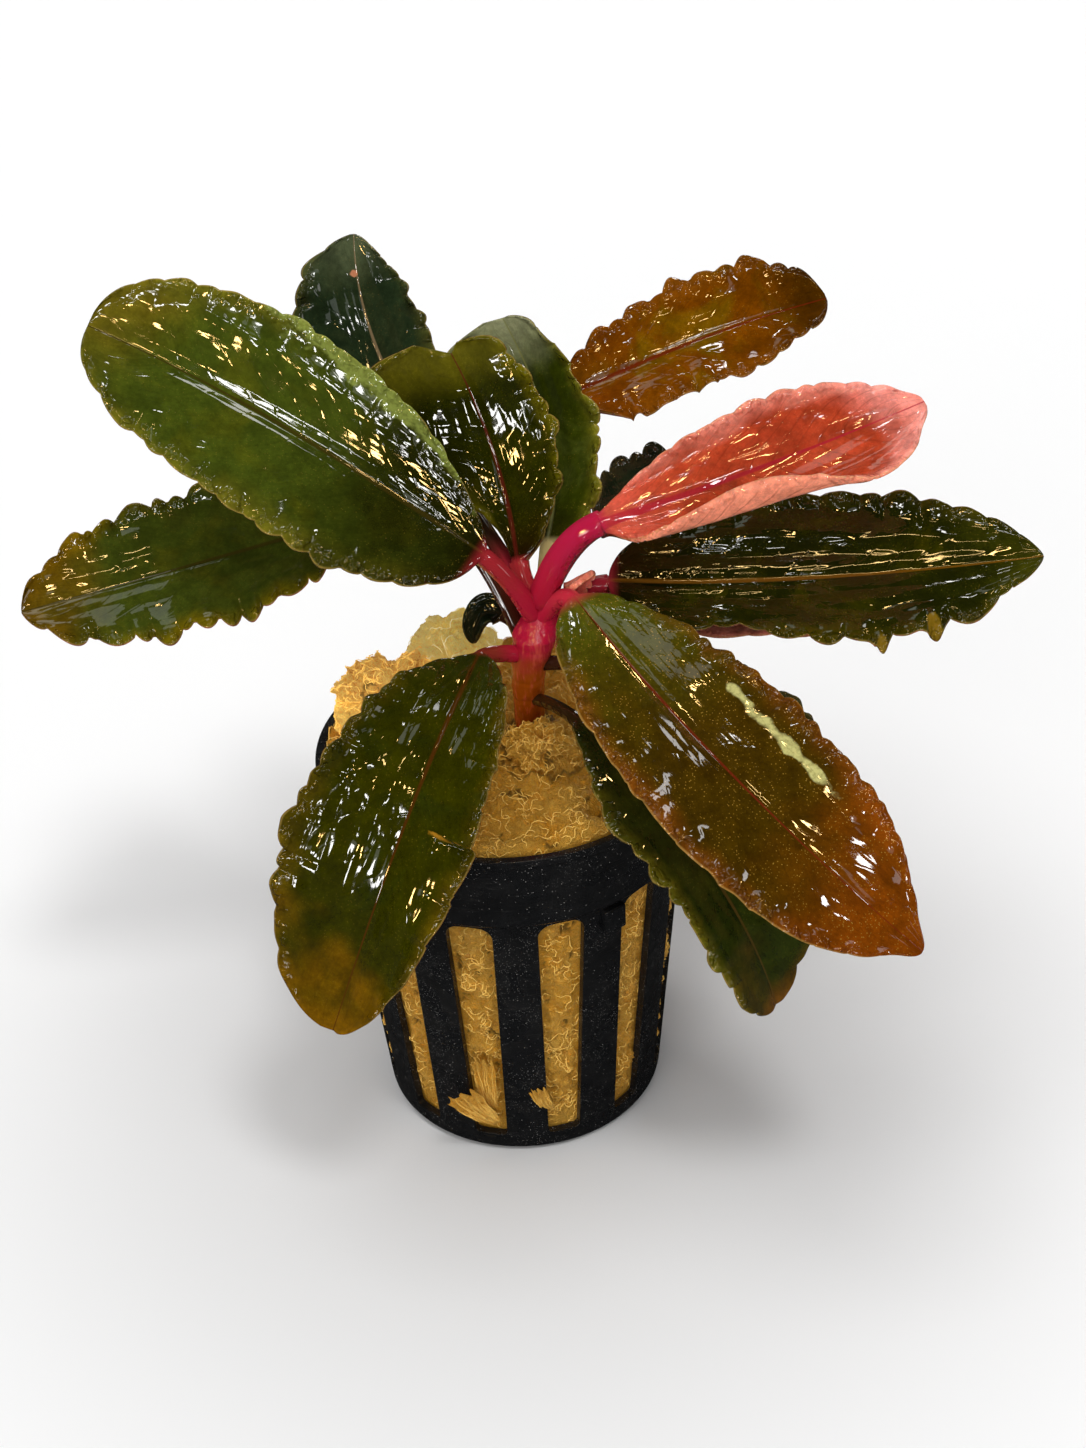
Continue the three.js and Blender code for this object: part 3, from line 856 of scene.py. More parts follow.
            return point + along * self.nib, (0.0, 1.0, 0.0, 0.0, self.length, 0.0)
        out, rise, half = self.across(t, side, top)
        share = self.width_share(t, 0 if side < 0 else 1)
        rise += self.relief(t, side, point + along.cross(up) * out, share)
        fore = self.nib * smooth(t, 0.955, 1.0) ** 2
        fore += sum(bump.fore * bump.share(t, side) for bump in self.bumps)
        point = point + along.cross(up) * out + up * rise + along * fore
        return point, (side, t, float(not upper), side * half, t * self.length, share)

    def marked(self, t: float, side: float, point: Vector) -> Triple:
        """How torn a place is and how much painted sheen it gets, with ragged edges.

        Args:
            t: Place along the blade, 0 to 1.
            side: -1 at the left margin to 1 at the right.
            point: The place in the frame, in millimetres.

        Returns:
            The share torn, the share of painted sheen and 0.
        """
        shares = [0.0, 0.0, 0.0]
        if self.marks:
            ragged = 0.4 * noise.noise(point * 0.5 + self.offset) + 0.15 * noise.noise(point * 1.9)
            for mark in self.marks:
                share = mark.share(t, side)
                if share > 0:
                    shares[mark.shade.value] = max(shares[mark.shade.value], share + ragged)
        return (*shares[:2], 0.0)

    def build(self) -> list[bpy.types.Object]:
        """Makes the leaf and puts it in place of its CAD node.

        Returns:
            The leaf's object.
        """
        mesh, spots = grid(round(1.25 * self.columns / UPPER_SHARE), self.rows, ("leaf", "span", "marks"))
        laid = mesh.verts.layers.float_vector["leaf"]
        span = mesh.verts.layers.float_vector["span"]
        marked = mesh.verts.layers.float_vector["marks"]
        for vert, turn, v in spots:
            vert.co, facts = self.skin_point(turn, v)
            vert[laid] = facts[:3]
            vert[span] = facts[3:]
            vert[marked] = self.marked(facts[1], facts[0], vert.co)
        seal(mesh)
        made = finished(self.name + "_wet", mesh, self.tint.material(self.name))
        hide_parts(self.name)
        return [made]


LEAVES = [
    Leaf(
        "leaf_left_upper",
        root=(4.5, -0.5, 74.5), neck=(-1.5, -1, 84), belly=(-24.5, 6, 99.5), tip=(-47.5, 12, 111.5),
        face=(0.05, -0.6, 0.8), half=(12.6, 11.9), widest=(0.44, 0.58), fold=(8, 12), curl=(-10, 15),
        ruffle=0.5, waves=11, blunt=(0.65, 0.42), stalk=(1.4, 0.95), seed=11, columns=56, rows=260,
        scallop=(0.7, 0.5), groove=(0.5, 1.15), swell=0.2, pleat=0.2,
        tint=LeafTint(
            centre=(58, 68, 14), patch=(72, 74, 12), margin=(104, 98, 22), neck=(16, 12, 0),
            tip=(96, 84, 16), rib=(54, 44, 10), stalk=(146, 34, 40), under=(120, 92, 50), specks=0.15,
            neck_reach=0.62, pale=(128, 138, 62), glint=0.35, ripple=0.5,
        ),
        bumps=(Bump(1, 0.42, 0.4, 0.0, 1.6, 6.0),),
        # The PALE mark is a band of painted sheen along the upper margin, in the pale colour above
        marks=(Mark(Shade.PALE, 0.98, 0.4, 0.3, 0.42),),
    ),
    Leaf(
        "leaf_left_lower",
        root=(3.4, -0.5, 69.5), neck=(-13, 9, 85.5), belly=(-36.5, 8, 80), tip=(-59.7, 2, 77.5),
        face=(-0.1, -0.5, 0.85), half=(9.5, 9.5), widest=(0.55, 0.55), fold=(8, 8), curl=(-10, 15),
        ruffle=1.2, waves=11, blunt=(0.6, 0.6), stalk=(1.1, 0.8), seed=12, rows=220,
        scallop=(1.9, 1.2), swell=0.7, frill=1.1,
        tint=LeafTint(
            centre=(52, 60, 12), patch=(66, 66, 10), margin=(104, 88, 4), neck=(24, 18, 2),
            tip=(98, 68, 4), rib=(50, 42, 8), stalk=(56, 26, 14), root=(56, 24, 12),
            under=(150, 84, 70), glint=0.2,
        ),
    ),
    Leaf(
        "leaf_back_left",
        root=(5, 0, 75), neck=(-3.5, 12, 84.5), belly=(-13.5, 27, 97.5), tip=(-16, 34, 112),
        face=(0, -0.8, 0.6), half=(9.4, 7.2), widest=(0.6, 0.52), fold=(10, 10), curl=(10, 10),
        ruffle=0.9, waves=9, blunt=(0.6, 0.72), stalk=(1.1, 0.8), seed=13, scallop=(0.8, 1.0),
        marks=(Mark(Shade.TORN, -0.05, 0.84, 0.09, 0.022),),
        tint=LeafTint(
            centre=(32, 44, 24), patch=(50, 58, 32), margin=(70, 70, 28), neck=(22, 26, 14),
            tip=(78, 86, 58), rib=(136, 114, 82), stalk=(60, 40, 24), under=(70, 56, 36),
            torn=(206, 134, 96),
        ),
    ),
    Leaf(
        "leaf_center_upright",
        root=(5.2, 0, 75), neck=(3, 3, 80.5), belly=(0.5, 10.5, 92.2), tip=(-4, 14.5, 104),
        face=(-0.15, -0.85, 0.45), half=(13.2, 8.5), widest=(0.79, 0.6), fold=(8, 8), curl=(5, 5),
        ruffle=0.7, waves=8, blunt=(0.6, 0.32), stalk=(1.3, 1), seed=14, scallop=(0.8, 0.8),
        bumps=(
            Bump(-1, 0.97, 0.055, power=1.5, fore=4.2), Bump(1, 0.97, 0.06, power=1.5, fore=1.4),
            Bump(0, 1.0, 0.03, -1.0, 0.0, 1.0),
        ),
        tint=LeafTint(
            centre=(32, 34, 0), patch=(44, 42, 2), margin=(92, 84, 6), neck=(26, 10, 0), tip=(86, 80, 12),
            rib=(84, 22, 14), stalk=(160, 40, 44), under=(96, 66, 36), specks=0.15, glint=1.0,
        ),
    ),
    Leaf(
        "leaf_center_back",
        root=(5.9, 0.6, 75.2), neck=(7, 8.1, 79.7), belly=(7.5, 18.5, 90), tip=(2.5, 26, 103),
        face=(-0.3, -0.8, 0.4), half=(10, 7.2), widest=(0.66, 0.5), fold=(10, 10), curl=(10, 10),
        ruffle=0.9, waves=8, blunt=(0.6, 0.5), stalk=(1.3, 1), seed=15, scallop=(1.2, 1.2),
        bumps=(Bump(-1, 0.93, 0.08, 2.4, power=1.5, fore=1.5),),
        tint=LeafTint(
            centre=(48, 56, 4), patch=(74, 82, 28), margin=(116, 110, 26), neck=(44, 44, 4),
            # The pale grey-green tip is painted sheen: a reflection on the leaf's upper part painted into its
            # colour
            tip=(140, 142, 104), rib=(120, 120, 66), stalk=(206, 186, 124), under=(110, 96, 50), specks=0.2,
        ),
    ),
    Leaf(
        "leaf_right_upper",
        root=(6, 0.5, 75.5), neck=(9.1, 23.3, 91.9), belly=(27, 28.8, 96.8), tip=(45, 34, 99.5),
        bend=(7, 19, 77), face=(0, -0.6, 0.8), half=(8.2, 7.3), widest=(0.62, 0.45), fold=(8, 8), curl=(5, 5),
        ruffle=1, waves=8, blunt=(0.42, 0.55), stalk=(1.1, 0.8), seed=16, scallop=(0.9, 0.8),
        bumps=(Bump(1, 0.06, 0.09, -2.0),),
        tint=LeafTint(
            centre=(104, 54, 0), patch=(104, 76, 2), margin=(120, 66, 6), neck=(122, 56, 4),
            tip=(62, 34, 0), rib=(100, 26, 8), stalk=(150, 60, 38), under=(150, 92, 70), specks=0.25,
            tip_reach=0.4,
        ),
    ),
    Leaf(
        "leaf_new_pink",
        root=(5.4, 0, 75.5), neck=(13.5, -2, 88.5), belly=(33, -1, 94.5), tip=(52, 4, 99),
        face=(0, -0.45, 0.9), half=(7.5, 10.4), widest=(0.6, 0.6), fold=(25, -58), fold2=(10, -5),
        unroll=(0.4, 0.92), curl=(25, 215), curl2=(10, 30), ruffle=0.5, waves=8, blunt=(0.7, 0.6),
        stalk=(1.9, 1.3), seed=17,
        scallop=(0.45, 0.6), nib=1.2, pleat=0.7,
        tint=LeafTint(
            centre=(166, 60, 32), patch=(180, 72, 44), margin=(240, 146, 124), neck=(196, 82, 62),
            tip=(255, 164, 150), rib=(168, 30, 48), stalk=(172, 26, 62), under=(240, 146, 116),
            vein_shade=0.2, glow=0.35, ripple=0.7, glint=0.3,
        ),
    ),
    Leaf(
        "leaf_right",
        root=(5, -0.4, 74), neck=(14, 0, 78.5), belly=(41.5, -2, 79), tip=(67.5, -3, 81),
        face=(0, -0.6, 0.8), half=(10.4, 9.2), widest=(0.48, 0.48), fold=(8, 8), curl=(5, 0),
        ruffle=0.9, waves=10, blunt=(0.6, 0.7), stalk=(1.2, 0.9), seed=18, rows=300,
        pleat=0.6, quilt=0.0, scallop=(0.5, 1.4),
        bumps=(
            Bump(1, 0.28, 0.2, -2.0), Bump(1, 0.6, 0.018, 2.2, power=8.0),
            Bump(1, 0.72, 0.022, 2.4, power=8.0),
        ),
        marks=(Mark(Shade.TORN, 1.0, 0.6, 0.2, 0.016), Mark(Shade.TORN, 1.0, 0.72, 0.26, 0.02)),
        tint=LeafTint(
            centre=(28, 30, 2), patch=(48, 46, 0), margin=(60, 52, 2), neck=(20, 16, 0), tip=(58, 58, 6),
            rib=(112, 70, 12), stalk=(140, 30, 42), under=(150, 88, 64), specks=0.15, glint=1.2,
            torn=(112, 88, 16),
        ),
    ),
    Leaf(
        "leaf_front_right",
        root=(4.6, -0.6, 73), neck=(9.5, -4, 78.5), belly=(27.6, -27.6, 67.2), tip=(47, -39.5, 51),
        face=(0.1, -0.5, 0.9), half=(11.7, 11.4), widest=(0.55, 0.55), fold=(8, 8), curl=(-5, -5),
        ruffle=0.7, waves=11, blunt=(0.5, 0.7), stalk=(1.3, 1), seed=19, columns=56, rows=260,
        scallop=(0.4, 0.5),
        tint=LeafTint(
            centre=(60, 42, 2), patch=(52, 34, 0), margin=(112, 60, 10), neck=(70, 72, 10),
            tip=(120, 56, 4), rib=(104, 30, 14), stalk=(180, 40, 56), under=(160, 96, 60), specks=0.8,
            tip_reach=0.42, neck_reach=0.42, rib_width=0.15, glint=0.5, ripple=0.6, pale=(190, 184, 116),
        ),
        nib=1.6,
        # The PALE marks are a streak of painted sheen across the blade, in the pale colour above
        marks=(Mark(Shade.PALE, -0.62, 0.52, 0.1, 0.2), Mark(Shade.PALE, -0.66, 0.36, 0.09, 0.07)),
    ),
    Leaf(
        "leaf_front_left",
        root=(3.6, -0.8, 69), neck=(-2.5, -6, 72), belly=(-10.5, -26, 66.5), tip=(-22.5, -34, 38),
        face=(-0.1, -0.6, 0.8), half=(9, 13.5), widest=(0.6, 0.64), fold=(10, 10), curl=(5, 5),
        ruffle=0.8, waves=10, blunt=(0.55, 0.5), stalk=(1.2, 0.9), seed=20, columns=50, rows=260,
        pleat=1.0, quilt=0.0, scallop=(0.6, 0.7),
        bumps=(Bump(1, 0.42, 0.16, -1.4), Bump(1, 0.95, 0.05, 1.0)),
        tint=LeafTint(
            centre=(42, 42, 0), patch=(34, 40, 4), margin=(80, 64, 4), neck=(36, 42, 6),
            tip=(116, 78, 2), rib=(72, 36, 6), stalk=(132, 48, 34), under=(120, 80, 40), specks=0.15,
            torn=(150, 104, 24), glint=1.2, tip_reach=0.2, ripple=1.3,
        ),
        nib=0.8,
        tear=Tear(-1, 0.57, 0.3, 2.4),
        marks=(Mark(Shade.TORN, -0.66, 0.568, 0.45, 0.004),),
    ),
    Leaf(
        "leaf_low_right",
        root=(3.4, -0.2, 62), neck=(9.5, -10, 64.5), belly=(23.8, -27.5, 54.6), tip=(32, -31, 35),
        face=(0.2, -0.5, 0.8), half=(8, 6.5), widest=(0.65, 0.65), fold=(8, 8), curl=(0, 0),
        ruffle=1, waves=9, blunt=(0.6, 0.4), stalk=(0.9, 0.7), seed=21, scallop=(1.0, 1.5),
        bumps=(Bump(1, 0.22, 0.2, 2.2),),
        tint=LeafTint(
            centre=(38, 46, 8), patch=(50, 52, 6), margin=(84, 78, 12), neck=(30, 36, 8),
            tip=(112, 68, 18), rib=(80, 60, 24), stalk=(50, 34, 14), root=(50, 30, 12),
            under=(84, 70, 36),
        ),
    ),
    Leaf(
        "leaf_back_right",
        root=(5.4, 0.5, 74), neck=(14, 14, 78.5), belly=(23, 20, 78.8), tip=(34, 23, 80.5),
        face=(0, -0.4, 0.9), half=(7.5, 8), widest=(0.5, 0.5), fold=(10, 10), curl=(0, 0),
        ruffle=0.5, waves=7, blunt=(0.6, 0.7), stalk=(1, 0.8), seed=22,
        tint=LeafTint(
            centre=(28, 34, 20), patch=(40, 46, 24), margin=(70, 60, 34), neck=(24, 26, 16),
            tip=(110, 84, 60), rib=(70, 50, 34), stalk=(120, 40, 40), under=(120, 84, 60),
        ),
    ),
    Leaf(
        "leaf_under_right",
        root=(4.7, -0.5, 71.4), neck=(13, 2.1, 73.6), belly=(33, 2, 72.6), tip=(52.5, 0, 73),
        face=(0, -0.4, 0.9), half=(7, 5), widest=(0.5, 0.5), fold=(10, 10), curl=(0, 0),
        ruffle=0.5, waves=6, blunt=(0.6, 0.7), stalk=(1, 0.8), seed=23,
        tint=LeafTint(
            centre=(120, 64, 50), patch=(110, 70, 44), margin=(190, 110, 90), neck=(120, 40, 40),
            tip=(190, 110, 88), rib=(150, 60, 50), stalk=(150, 40, 46), under=(196, 120, 100),
        ),
    ),
    Leaf(
        "leaf_hidden_right",
        root=(3.8, -0.8, 67.5), neck=(10.5, -4, 69), belly=(27, -12, 66), tip=(39.5, -15, 58),
        face=(0.1, -0.4, 0.9), half=(6.5, 6.5), widest=(0.6, 0.6), fold=(8, 8), curl=(0, 0),
        ruffle=0.6, waves=6, blunt=(0.6, 0.5), stalk=(1, 0.8), seed=24,
        tint=LeafTint(
            centre=(26, 30, 14), patch=(36, 38, 14), margin=(60, 56, 22), neck=(20, 24, 10),
            tip=(60, 44, 18), rib=(50, 40, 20), stalk=(60, 34, 20), root=(60, 30, 16),
            under=(60, 50, 30),
        ),
    ),
    Leaf(
        "leaf_small_curled",
        root=(3.4, -0.3, 67), neck=(0.5, 5, 71.5), belly=(-2, 5, 71.5), tip=(-3.5, 2.5, 69),
        face=(-0.5, -0.5, 0.7), half=(1.8, 2.4), widest=(0.5, 0.5), fold=(10, 10), curl=(20, 20),
        ruffle=0.1, waves=3, blunt=(0.6, 0.6), stalk=(0.7, 0.6), seed=25, columns=20, rows=60,
        scallop=(0.2, 0.2), swell=0.1, frill=0.4,
        tint=LeafTint(
            centre=(14, 22, 10), patch=(22, 30, 14), margin=(40, 44, 20), neck=(20, 14, 8),
            tip=(30, 30, 14), rib=(30, 26, 12), stalk=(50, 24, 16), root=(50, 20, 14),
            under=(30, 34, 20), specks=0.0,
        ),
    ),
    Leaf(
        "scale_leaf",
        root=(5.6, -0.4, 74.5), neck=(9.3, -1.1, 78.3), belly=(10.8, -1.2, 79.9), tip=(12.4, -1, 80.7),
        face=(0.5, -0.8, -0.4), half=(1.1, 1.1), widest=(0.4, 0.4), fold=(10, 10), curl=(30, 30),
        ruffle=0, waves=2, blunt=(0.5, 0.6), stalk=(0.6, 0.5), seed=26, columns=20, rows=50,
        tint=LeafTint(
            centre=(214, 100, 84), patch=(224, 120, 90), margin=(236, 150, 116), neck=(206, 70, 76),
            tip=(236, 160, 110), rib=(200, 70, 70), stalk=(190, 50, 66), under=(224, 124, 100), specks=0.0,
            glow=0.3, ripple=0.5,
        ),
    ),
]


# Pot


@dataclass(frozen=True)
class PotForm:
    """The net pot's sizes, which the wool inside it follows too."""

    height: float = 54.8
    base_radius: float = 19.0
    shoulder_radius: float = 23.0
    collar_bottom: float = 43.2
    collar_step: float = 0.7
    step_rise: float = 0.35
    rim_radius: float = 24.6
    lip_radius: float = 24.9
    lip_height: float = 1.2
    wall: float = 1.1
    corner: float = 1.5
    slots: int = 12
    slot_first: float = 15.0
    slot_bottom: float = 3.2
    slot_top: float = 42.6
    slot_half_bottom: float = 2.2
    slot_half_top: float = 3.1
    top_round: float = 2.1
    bottom_round: float = 0.5
    slot_share: float = 0.5

    def radius(self, z: float) -> float:
        """Outer radius of the slotted body at a height."""
        return mix(self.base_radius, self.shoulder_radius, min(z / self.collar_bottom, 1.0))

    def slot_half(self, z: float) -> float:
        """Half width of a slot at a height, before its corners are rounded."""
        t = min(max((z - self.slot_bottom) / (self.slot_top - self.slot_bottom), 0.0), 1.0)
        return mix(self.slot_half_bottom, self.slot_half_top, t)

    def slot_edge(self, z: float) -> float:
        """Half width of a slot at a height, with round corners.

        Args:
            z: The height.

        Returns:
            The half width.
        """
        low = min(max(z - self.slot_bottom, 0.0), self.bottom_round)
        high = min(max(self.slot_top - z, 0.0), self.top_round)
        cut_low = self.bottom_round - math.sqrt(self.bottom_round**2 - (self.bottom_round - low) ** 2)
        cut_high = self.top_round - math.sqrt(self.top_round**2 - (self.top_round - high) ** 2)
        return self.slot_half(z) - max(cut_low, cut_high)

    def across(self, share: float, z: float, radius: float) -> float:
        """How far a place in a slot's sector is from the slot's middle.

        Args:
            share: The place, -1 to 1; the slot ends at its own share.
            z: The height.
            radius: The wall's radius there.

        Returns:
            The angle in degrees.
        """
        half = math.degrees(self.slot_edge(z) / radius)
        pitch = 180 / self.slots
        a = abs(share)
        if a <= self.slot_share:
            turn = half * a / self.slot_share
        else:
            turn = mix(half, pitch, (a - self.slot_share) / (1 - self.slot_share))
        return math.copysign(turn, share)

    def spot(self, turn: float, z: float, radius: float) -> Vector:
        """A point at a share of the whole turn, where each slot's sector has an equal share.

        Args:
            turn: The share, 0 to 1.
            z: The height.
            radius: The point's distance from the axis.

        Returns:
            The point.
        """
        sector = math.floor(turn * self.slots)
        share = 2 * (turn * self.slots - sector) - 1
        degrees = self.slot_first + sector * 360 / self.slots + self.across(share, z, self.radius(z))
        angle = math.radians(degrees)
        return Vector((radius * math.sin(angle), -radius * math.cos(angle), z))


POT = PotForm()


class Speckle(Effect):
    """Dust specks, damp patches and moulding grain on black plastic."""

    NAME = "speckled_plastic"
    COLOURS = ("Body", "Dust")
    VALUES = ("Amount", "Wear")
    WORN = (0.014, 0.014, 0.0145, 1.0)

    @classmethod
    def fill(cls, graph: Graph, given: bpy.types.NodeOutputs, results: bpy.types.NodeInputs) -> None:
        """Builds the group's inside.

        Args:
            graph: The group's nodes.
            given: What the group is given, by name.
            results: Where its results go, by name.
        """
        place = graph.place()
        zone = graph.ramp(graph.noise(place, 0.11, 3.0, 0.6), 0.42, 0.66)
        dots = graph.ramp(graph.cells(place, 2.0), 0.17, 0.06)
        fine = graph.ramp(graph.cells(place, 3.9), 0.22, 0.08)
        sparse = graph.ramp(graph.noise(place, 1.3, 2.0), 0.44, 0.58)
        dust = graph.math("MAXIMUM", graph.times(dots, sparse), graph.times(fine, zone))
        dust = graph.times(dust, given["Amount"], clamp=True)
        tone = graph.noise(place, 0.25, 4.0, 0.65)
        body = graph.blend(graph.ramp(tone, 0.4, 0.7, 0.0, 0.35), given["Body"], cls.WORN)
        graph.put(graph.blend(dust, body, given["Dust"]), results["Color"])
        damp = graph.ramp(graph.noise(place, 0.16, 3.0, 0.55, 0.5), 0.5, 0.56)
        rough = graph.ramp(tone, 0.3, 0.7, 0.26, 0.4)
        rough = graph.math("MULTIPLY_ADD", damp, -0.14, rough)
        graph.put(graph.math("MULTIPLY_ADD", dust, 0.3, rough), results["Roughness"])
        grain = graph.times(graph.noise(place, 3.0, 3.0, 0.6), 0.03)
        scratch = graph.noise(graph.stretched(place, (0.25, 0.25, 3.0)), 0.8, 3.0)
        scratch = graph.times(graph.ramp(scratch, 0.6, 0.68), given["Wear"])
        height = graph.math("MULTIPLY_ADD", scratch, -0.04, grain)
        height = graph.math("MULTIPLY_ADD", dust, 0.05, height)
        height = graph.math("MULTIPLY_ADD", graph.noise(place, 0.2, 2.0), 0.35, height)
        graph.put(height, results["Height"])


@dataclass(frozen=True)
class BlackPlastic:
    """Satin black moulded plastic with pale dust. Its colours are in linear light."""

    body: Triple = (0.0052, 0.0055, 0.006)
    dust: Triple = (0.35, 0.34, 0.32)
    amount: float = 0.95
    wear: float = 0.6
    shine: float = 0.35

    def material(self, name: str) -> bpy.types.Material:
        """Makes the plastic's material.

        Args:
            name: The material's name.

        Returns:
            The material.
        """
        made, graph, shader = new_material(name)
        body, dust = (*self.body, 1.0), (*self.dust, 1.0)
        grit = Speckle.use(graph, Body=body, Dust=dust, Amount=self.amount, Wear=self.wear)
        dress(graph, shader, grit)
        shader.inputs["Specular IOR Level"].default_value = self.shine
        return made


@dataclass
class NetPot:
    """The black pot: a thin moulded wall with round-shouldered slots, a collar, a lip and a small tab."""

    form: PotForm = POT
    slot_columns: int = 6
    rib_columns: int = 8
    edge: float = 0.16
    edge_angle: float = 32.0
    plastic: BlackPlastic = field(default_factory=BlackPlastic)
    tab_angle: float = 33.0
    tab_size: Triple = (3.2, 1.9, 3.6)
    tab_middle: float = 40.8
    tab_edge: float = 0.3

    def rows(self) -> list[Pair]:
        """Lays out the rows of the outer skin, from the middle of the base to the lip's top.

        Returns:
            Each row's radius and height.
        """
        form = self.form
        flat = form.base_radius - form.corner
        rows = [(flat * share, 0.0) for share in (0.0, 0.3, 0.6, 0.85, 1.0)]
        for step in range(1, 5):
            turn = math.radians(90 * step / 5)
            out = flat + (form.radius(form.corner) - flat) * math.sin(turn)
            rows.append((out, form.corner * (1 - math.cos(turn))))
        heights = [form.corner, 2.4, form.slot_bottom]
        heights += [form.slot_bottom + form.bottom_round * share for share in (0.15, 0.4, 1.0)]
        low, high = form.slot_bottom + form.bottom_round, form.slot_top - form.top_round
        heights += [mix(low, high, i / 14) for i in range(1, 15)]
        heights += [high + form.top_round * math.sin(math.radians(90 * i / 8)) for i in range(1, 9)]
        rows += [(form.radius(z), z) for z in heights]
        step_top = form.collar_bottom + form.step_rise
        rim = form.height - form.lip_height
        collar = form.shoulder_radius + form.collar_step
        rows += [(form.shoulder_radius, form.slot_top + 0.3), (collar, step_top)]
        rows += [(mix(collar, form.rim_radius, i / 5), mix(step_top, rim, i / 5)) for i in range(1, 6)]
        rows += [(form.lip_radius, rim + 0.1), (form.lip_radius, form.height)]
        return rows

    def in_slot(self, column: float, z: float) -> bool:
        """Whether a face lies in a slot.

        Args:
            column: The place of its middle, in columns.
            z: The height of its middle.

        Returns:
            True in a slot.
        """
        wide = self.slot_columns + self.rib_columns
        place = column % wide
        inside = self.rib_columns / 2 < place < self.rib_columns / 2 + self.slot_columns
        return inside and self.form.slot_bottom < z < self.form.slot_top

    def turn(self, column: int) -> float:
        """Share of the whole turn at a column, where the slot's columns fill its share of the sector.

        Args:
            column: The column's number.

        Returns:
            The share, 0 to 1.
        """
        wide = self.slot_columns + self.rib_columns
        sector, place = divmod(column, wide)
        rib = self.rib_columns / 2
        share = self.form.slot_share
        if place < rib:
            s = mix(-1, -share, place / rib)
        elif place <= rib + self.slot_columns:
            s = mix(-share, share, (place - rib) / self.slot_columns)
        else:
            s = mix(share, 1, (place - rib - self.slot_columns) / rib)
        return (sector + (s + 1) / 2) / self.form.slots

    def tab(self, material: bpy.types.Material) -> bpy.types.Object:
        """Makes the small upright tab under the collar.

        Args:
            material: The pot's plastic.

        Returns:
            The tab's object.
        """
        mesh = bmesh.new()
        made = bmesh.ops.create_cube(mesh, size=1.0)["verts"]
        bmesh.ops.scale(mesh, vec=self.tab_size, verts=made)
        bmesh.ops.bevel(
            mesh, geom=mesh.edges, offset=self.tab_edge, affect="EDGES", segments=3, profile=0.5, material=-1
        )
        turn = Matrix.Rotation(math.radians(self.tab_angle), 4, "Z")
        reach = self.form.radius(self.tab_middle)
        bmesh.ops.translate(mesh, vec=(0, -reach, self.tab_middle), verts=mesh.verts)
        bmesh.ops.transform(mesh, matrix=turn, verts=mesh.verts)
        made = finished("pot_tab", mesh, material)
        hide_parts("net_pot")
        return made

    def build(self) -> list[bpy.types.Object]:
        """Makes the pot and puts it in place of its CAD node.

        Returns:
            The tab and the moulding.
        """
        rows = self.rows()
        columns = self.form.slots * (self.slot_columns + self.rib_columns)
        last = len(rows) - 1
        mesh, spots = grid(columns, last)
        holes = []
        for face in mesh.faces:
            middle = face.calc_center_median()
            column, row = (middle.x + 1) / 2 * columns, (middle.y + 1) / 2 * last
            z = (rows[math.floor(row)][1] + rows[math.ceil(row)][1]) / 2
            if self.in_slot(column, z):
                holes.append(face)
        bmesh.ops.delete(mesh, geom=holes, context="FACES")
        for vert, u, v in spots:
            if vert.is_valid:
                radius, z = rows[round(v * last)]
                vert.co = self.form.spot(self.turn(round(u * columns)), z, radius)
        seal(mesh)
        plastic = self.plastic.material("black_plastic")
        tab = self.tab(plastic)
        made = finished("pot_moulding", mesh, plastic)
        wall = made.modifiers.new("wall", "SOLIDIFY")
        wall.thickness = self.form.wall * MM
        wall.offset = -1
        wall.use_even_offset = True
        edge = made.modifiers.new("edge", "BEVEL")
        edge.width = self.edge * MM
        edge.segments = 2
        edge.limit_method = "ANGLE"
        edge.angle_limit = math.radians(self.edge_angle)
        edge.harden_normals = True
        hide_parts("net_pot")
        return [tab, made]


# Wool


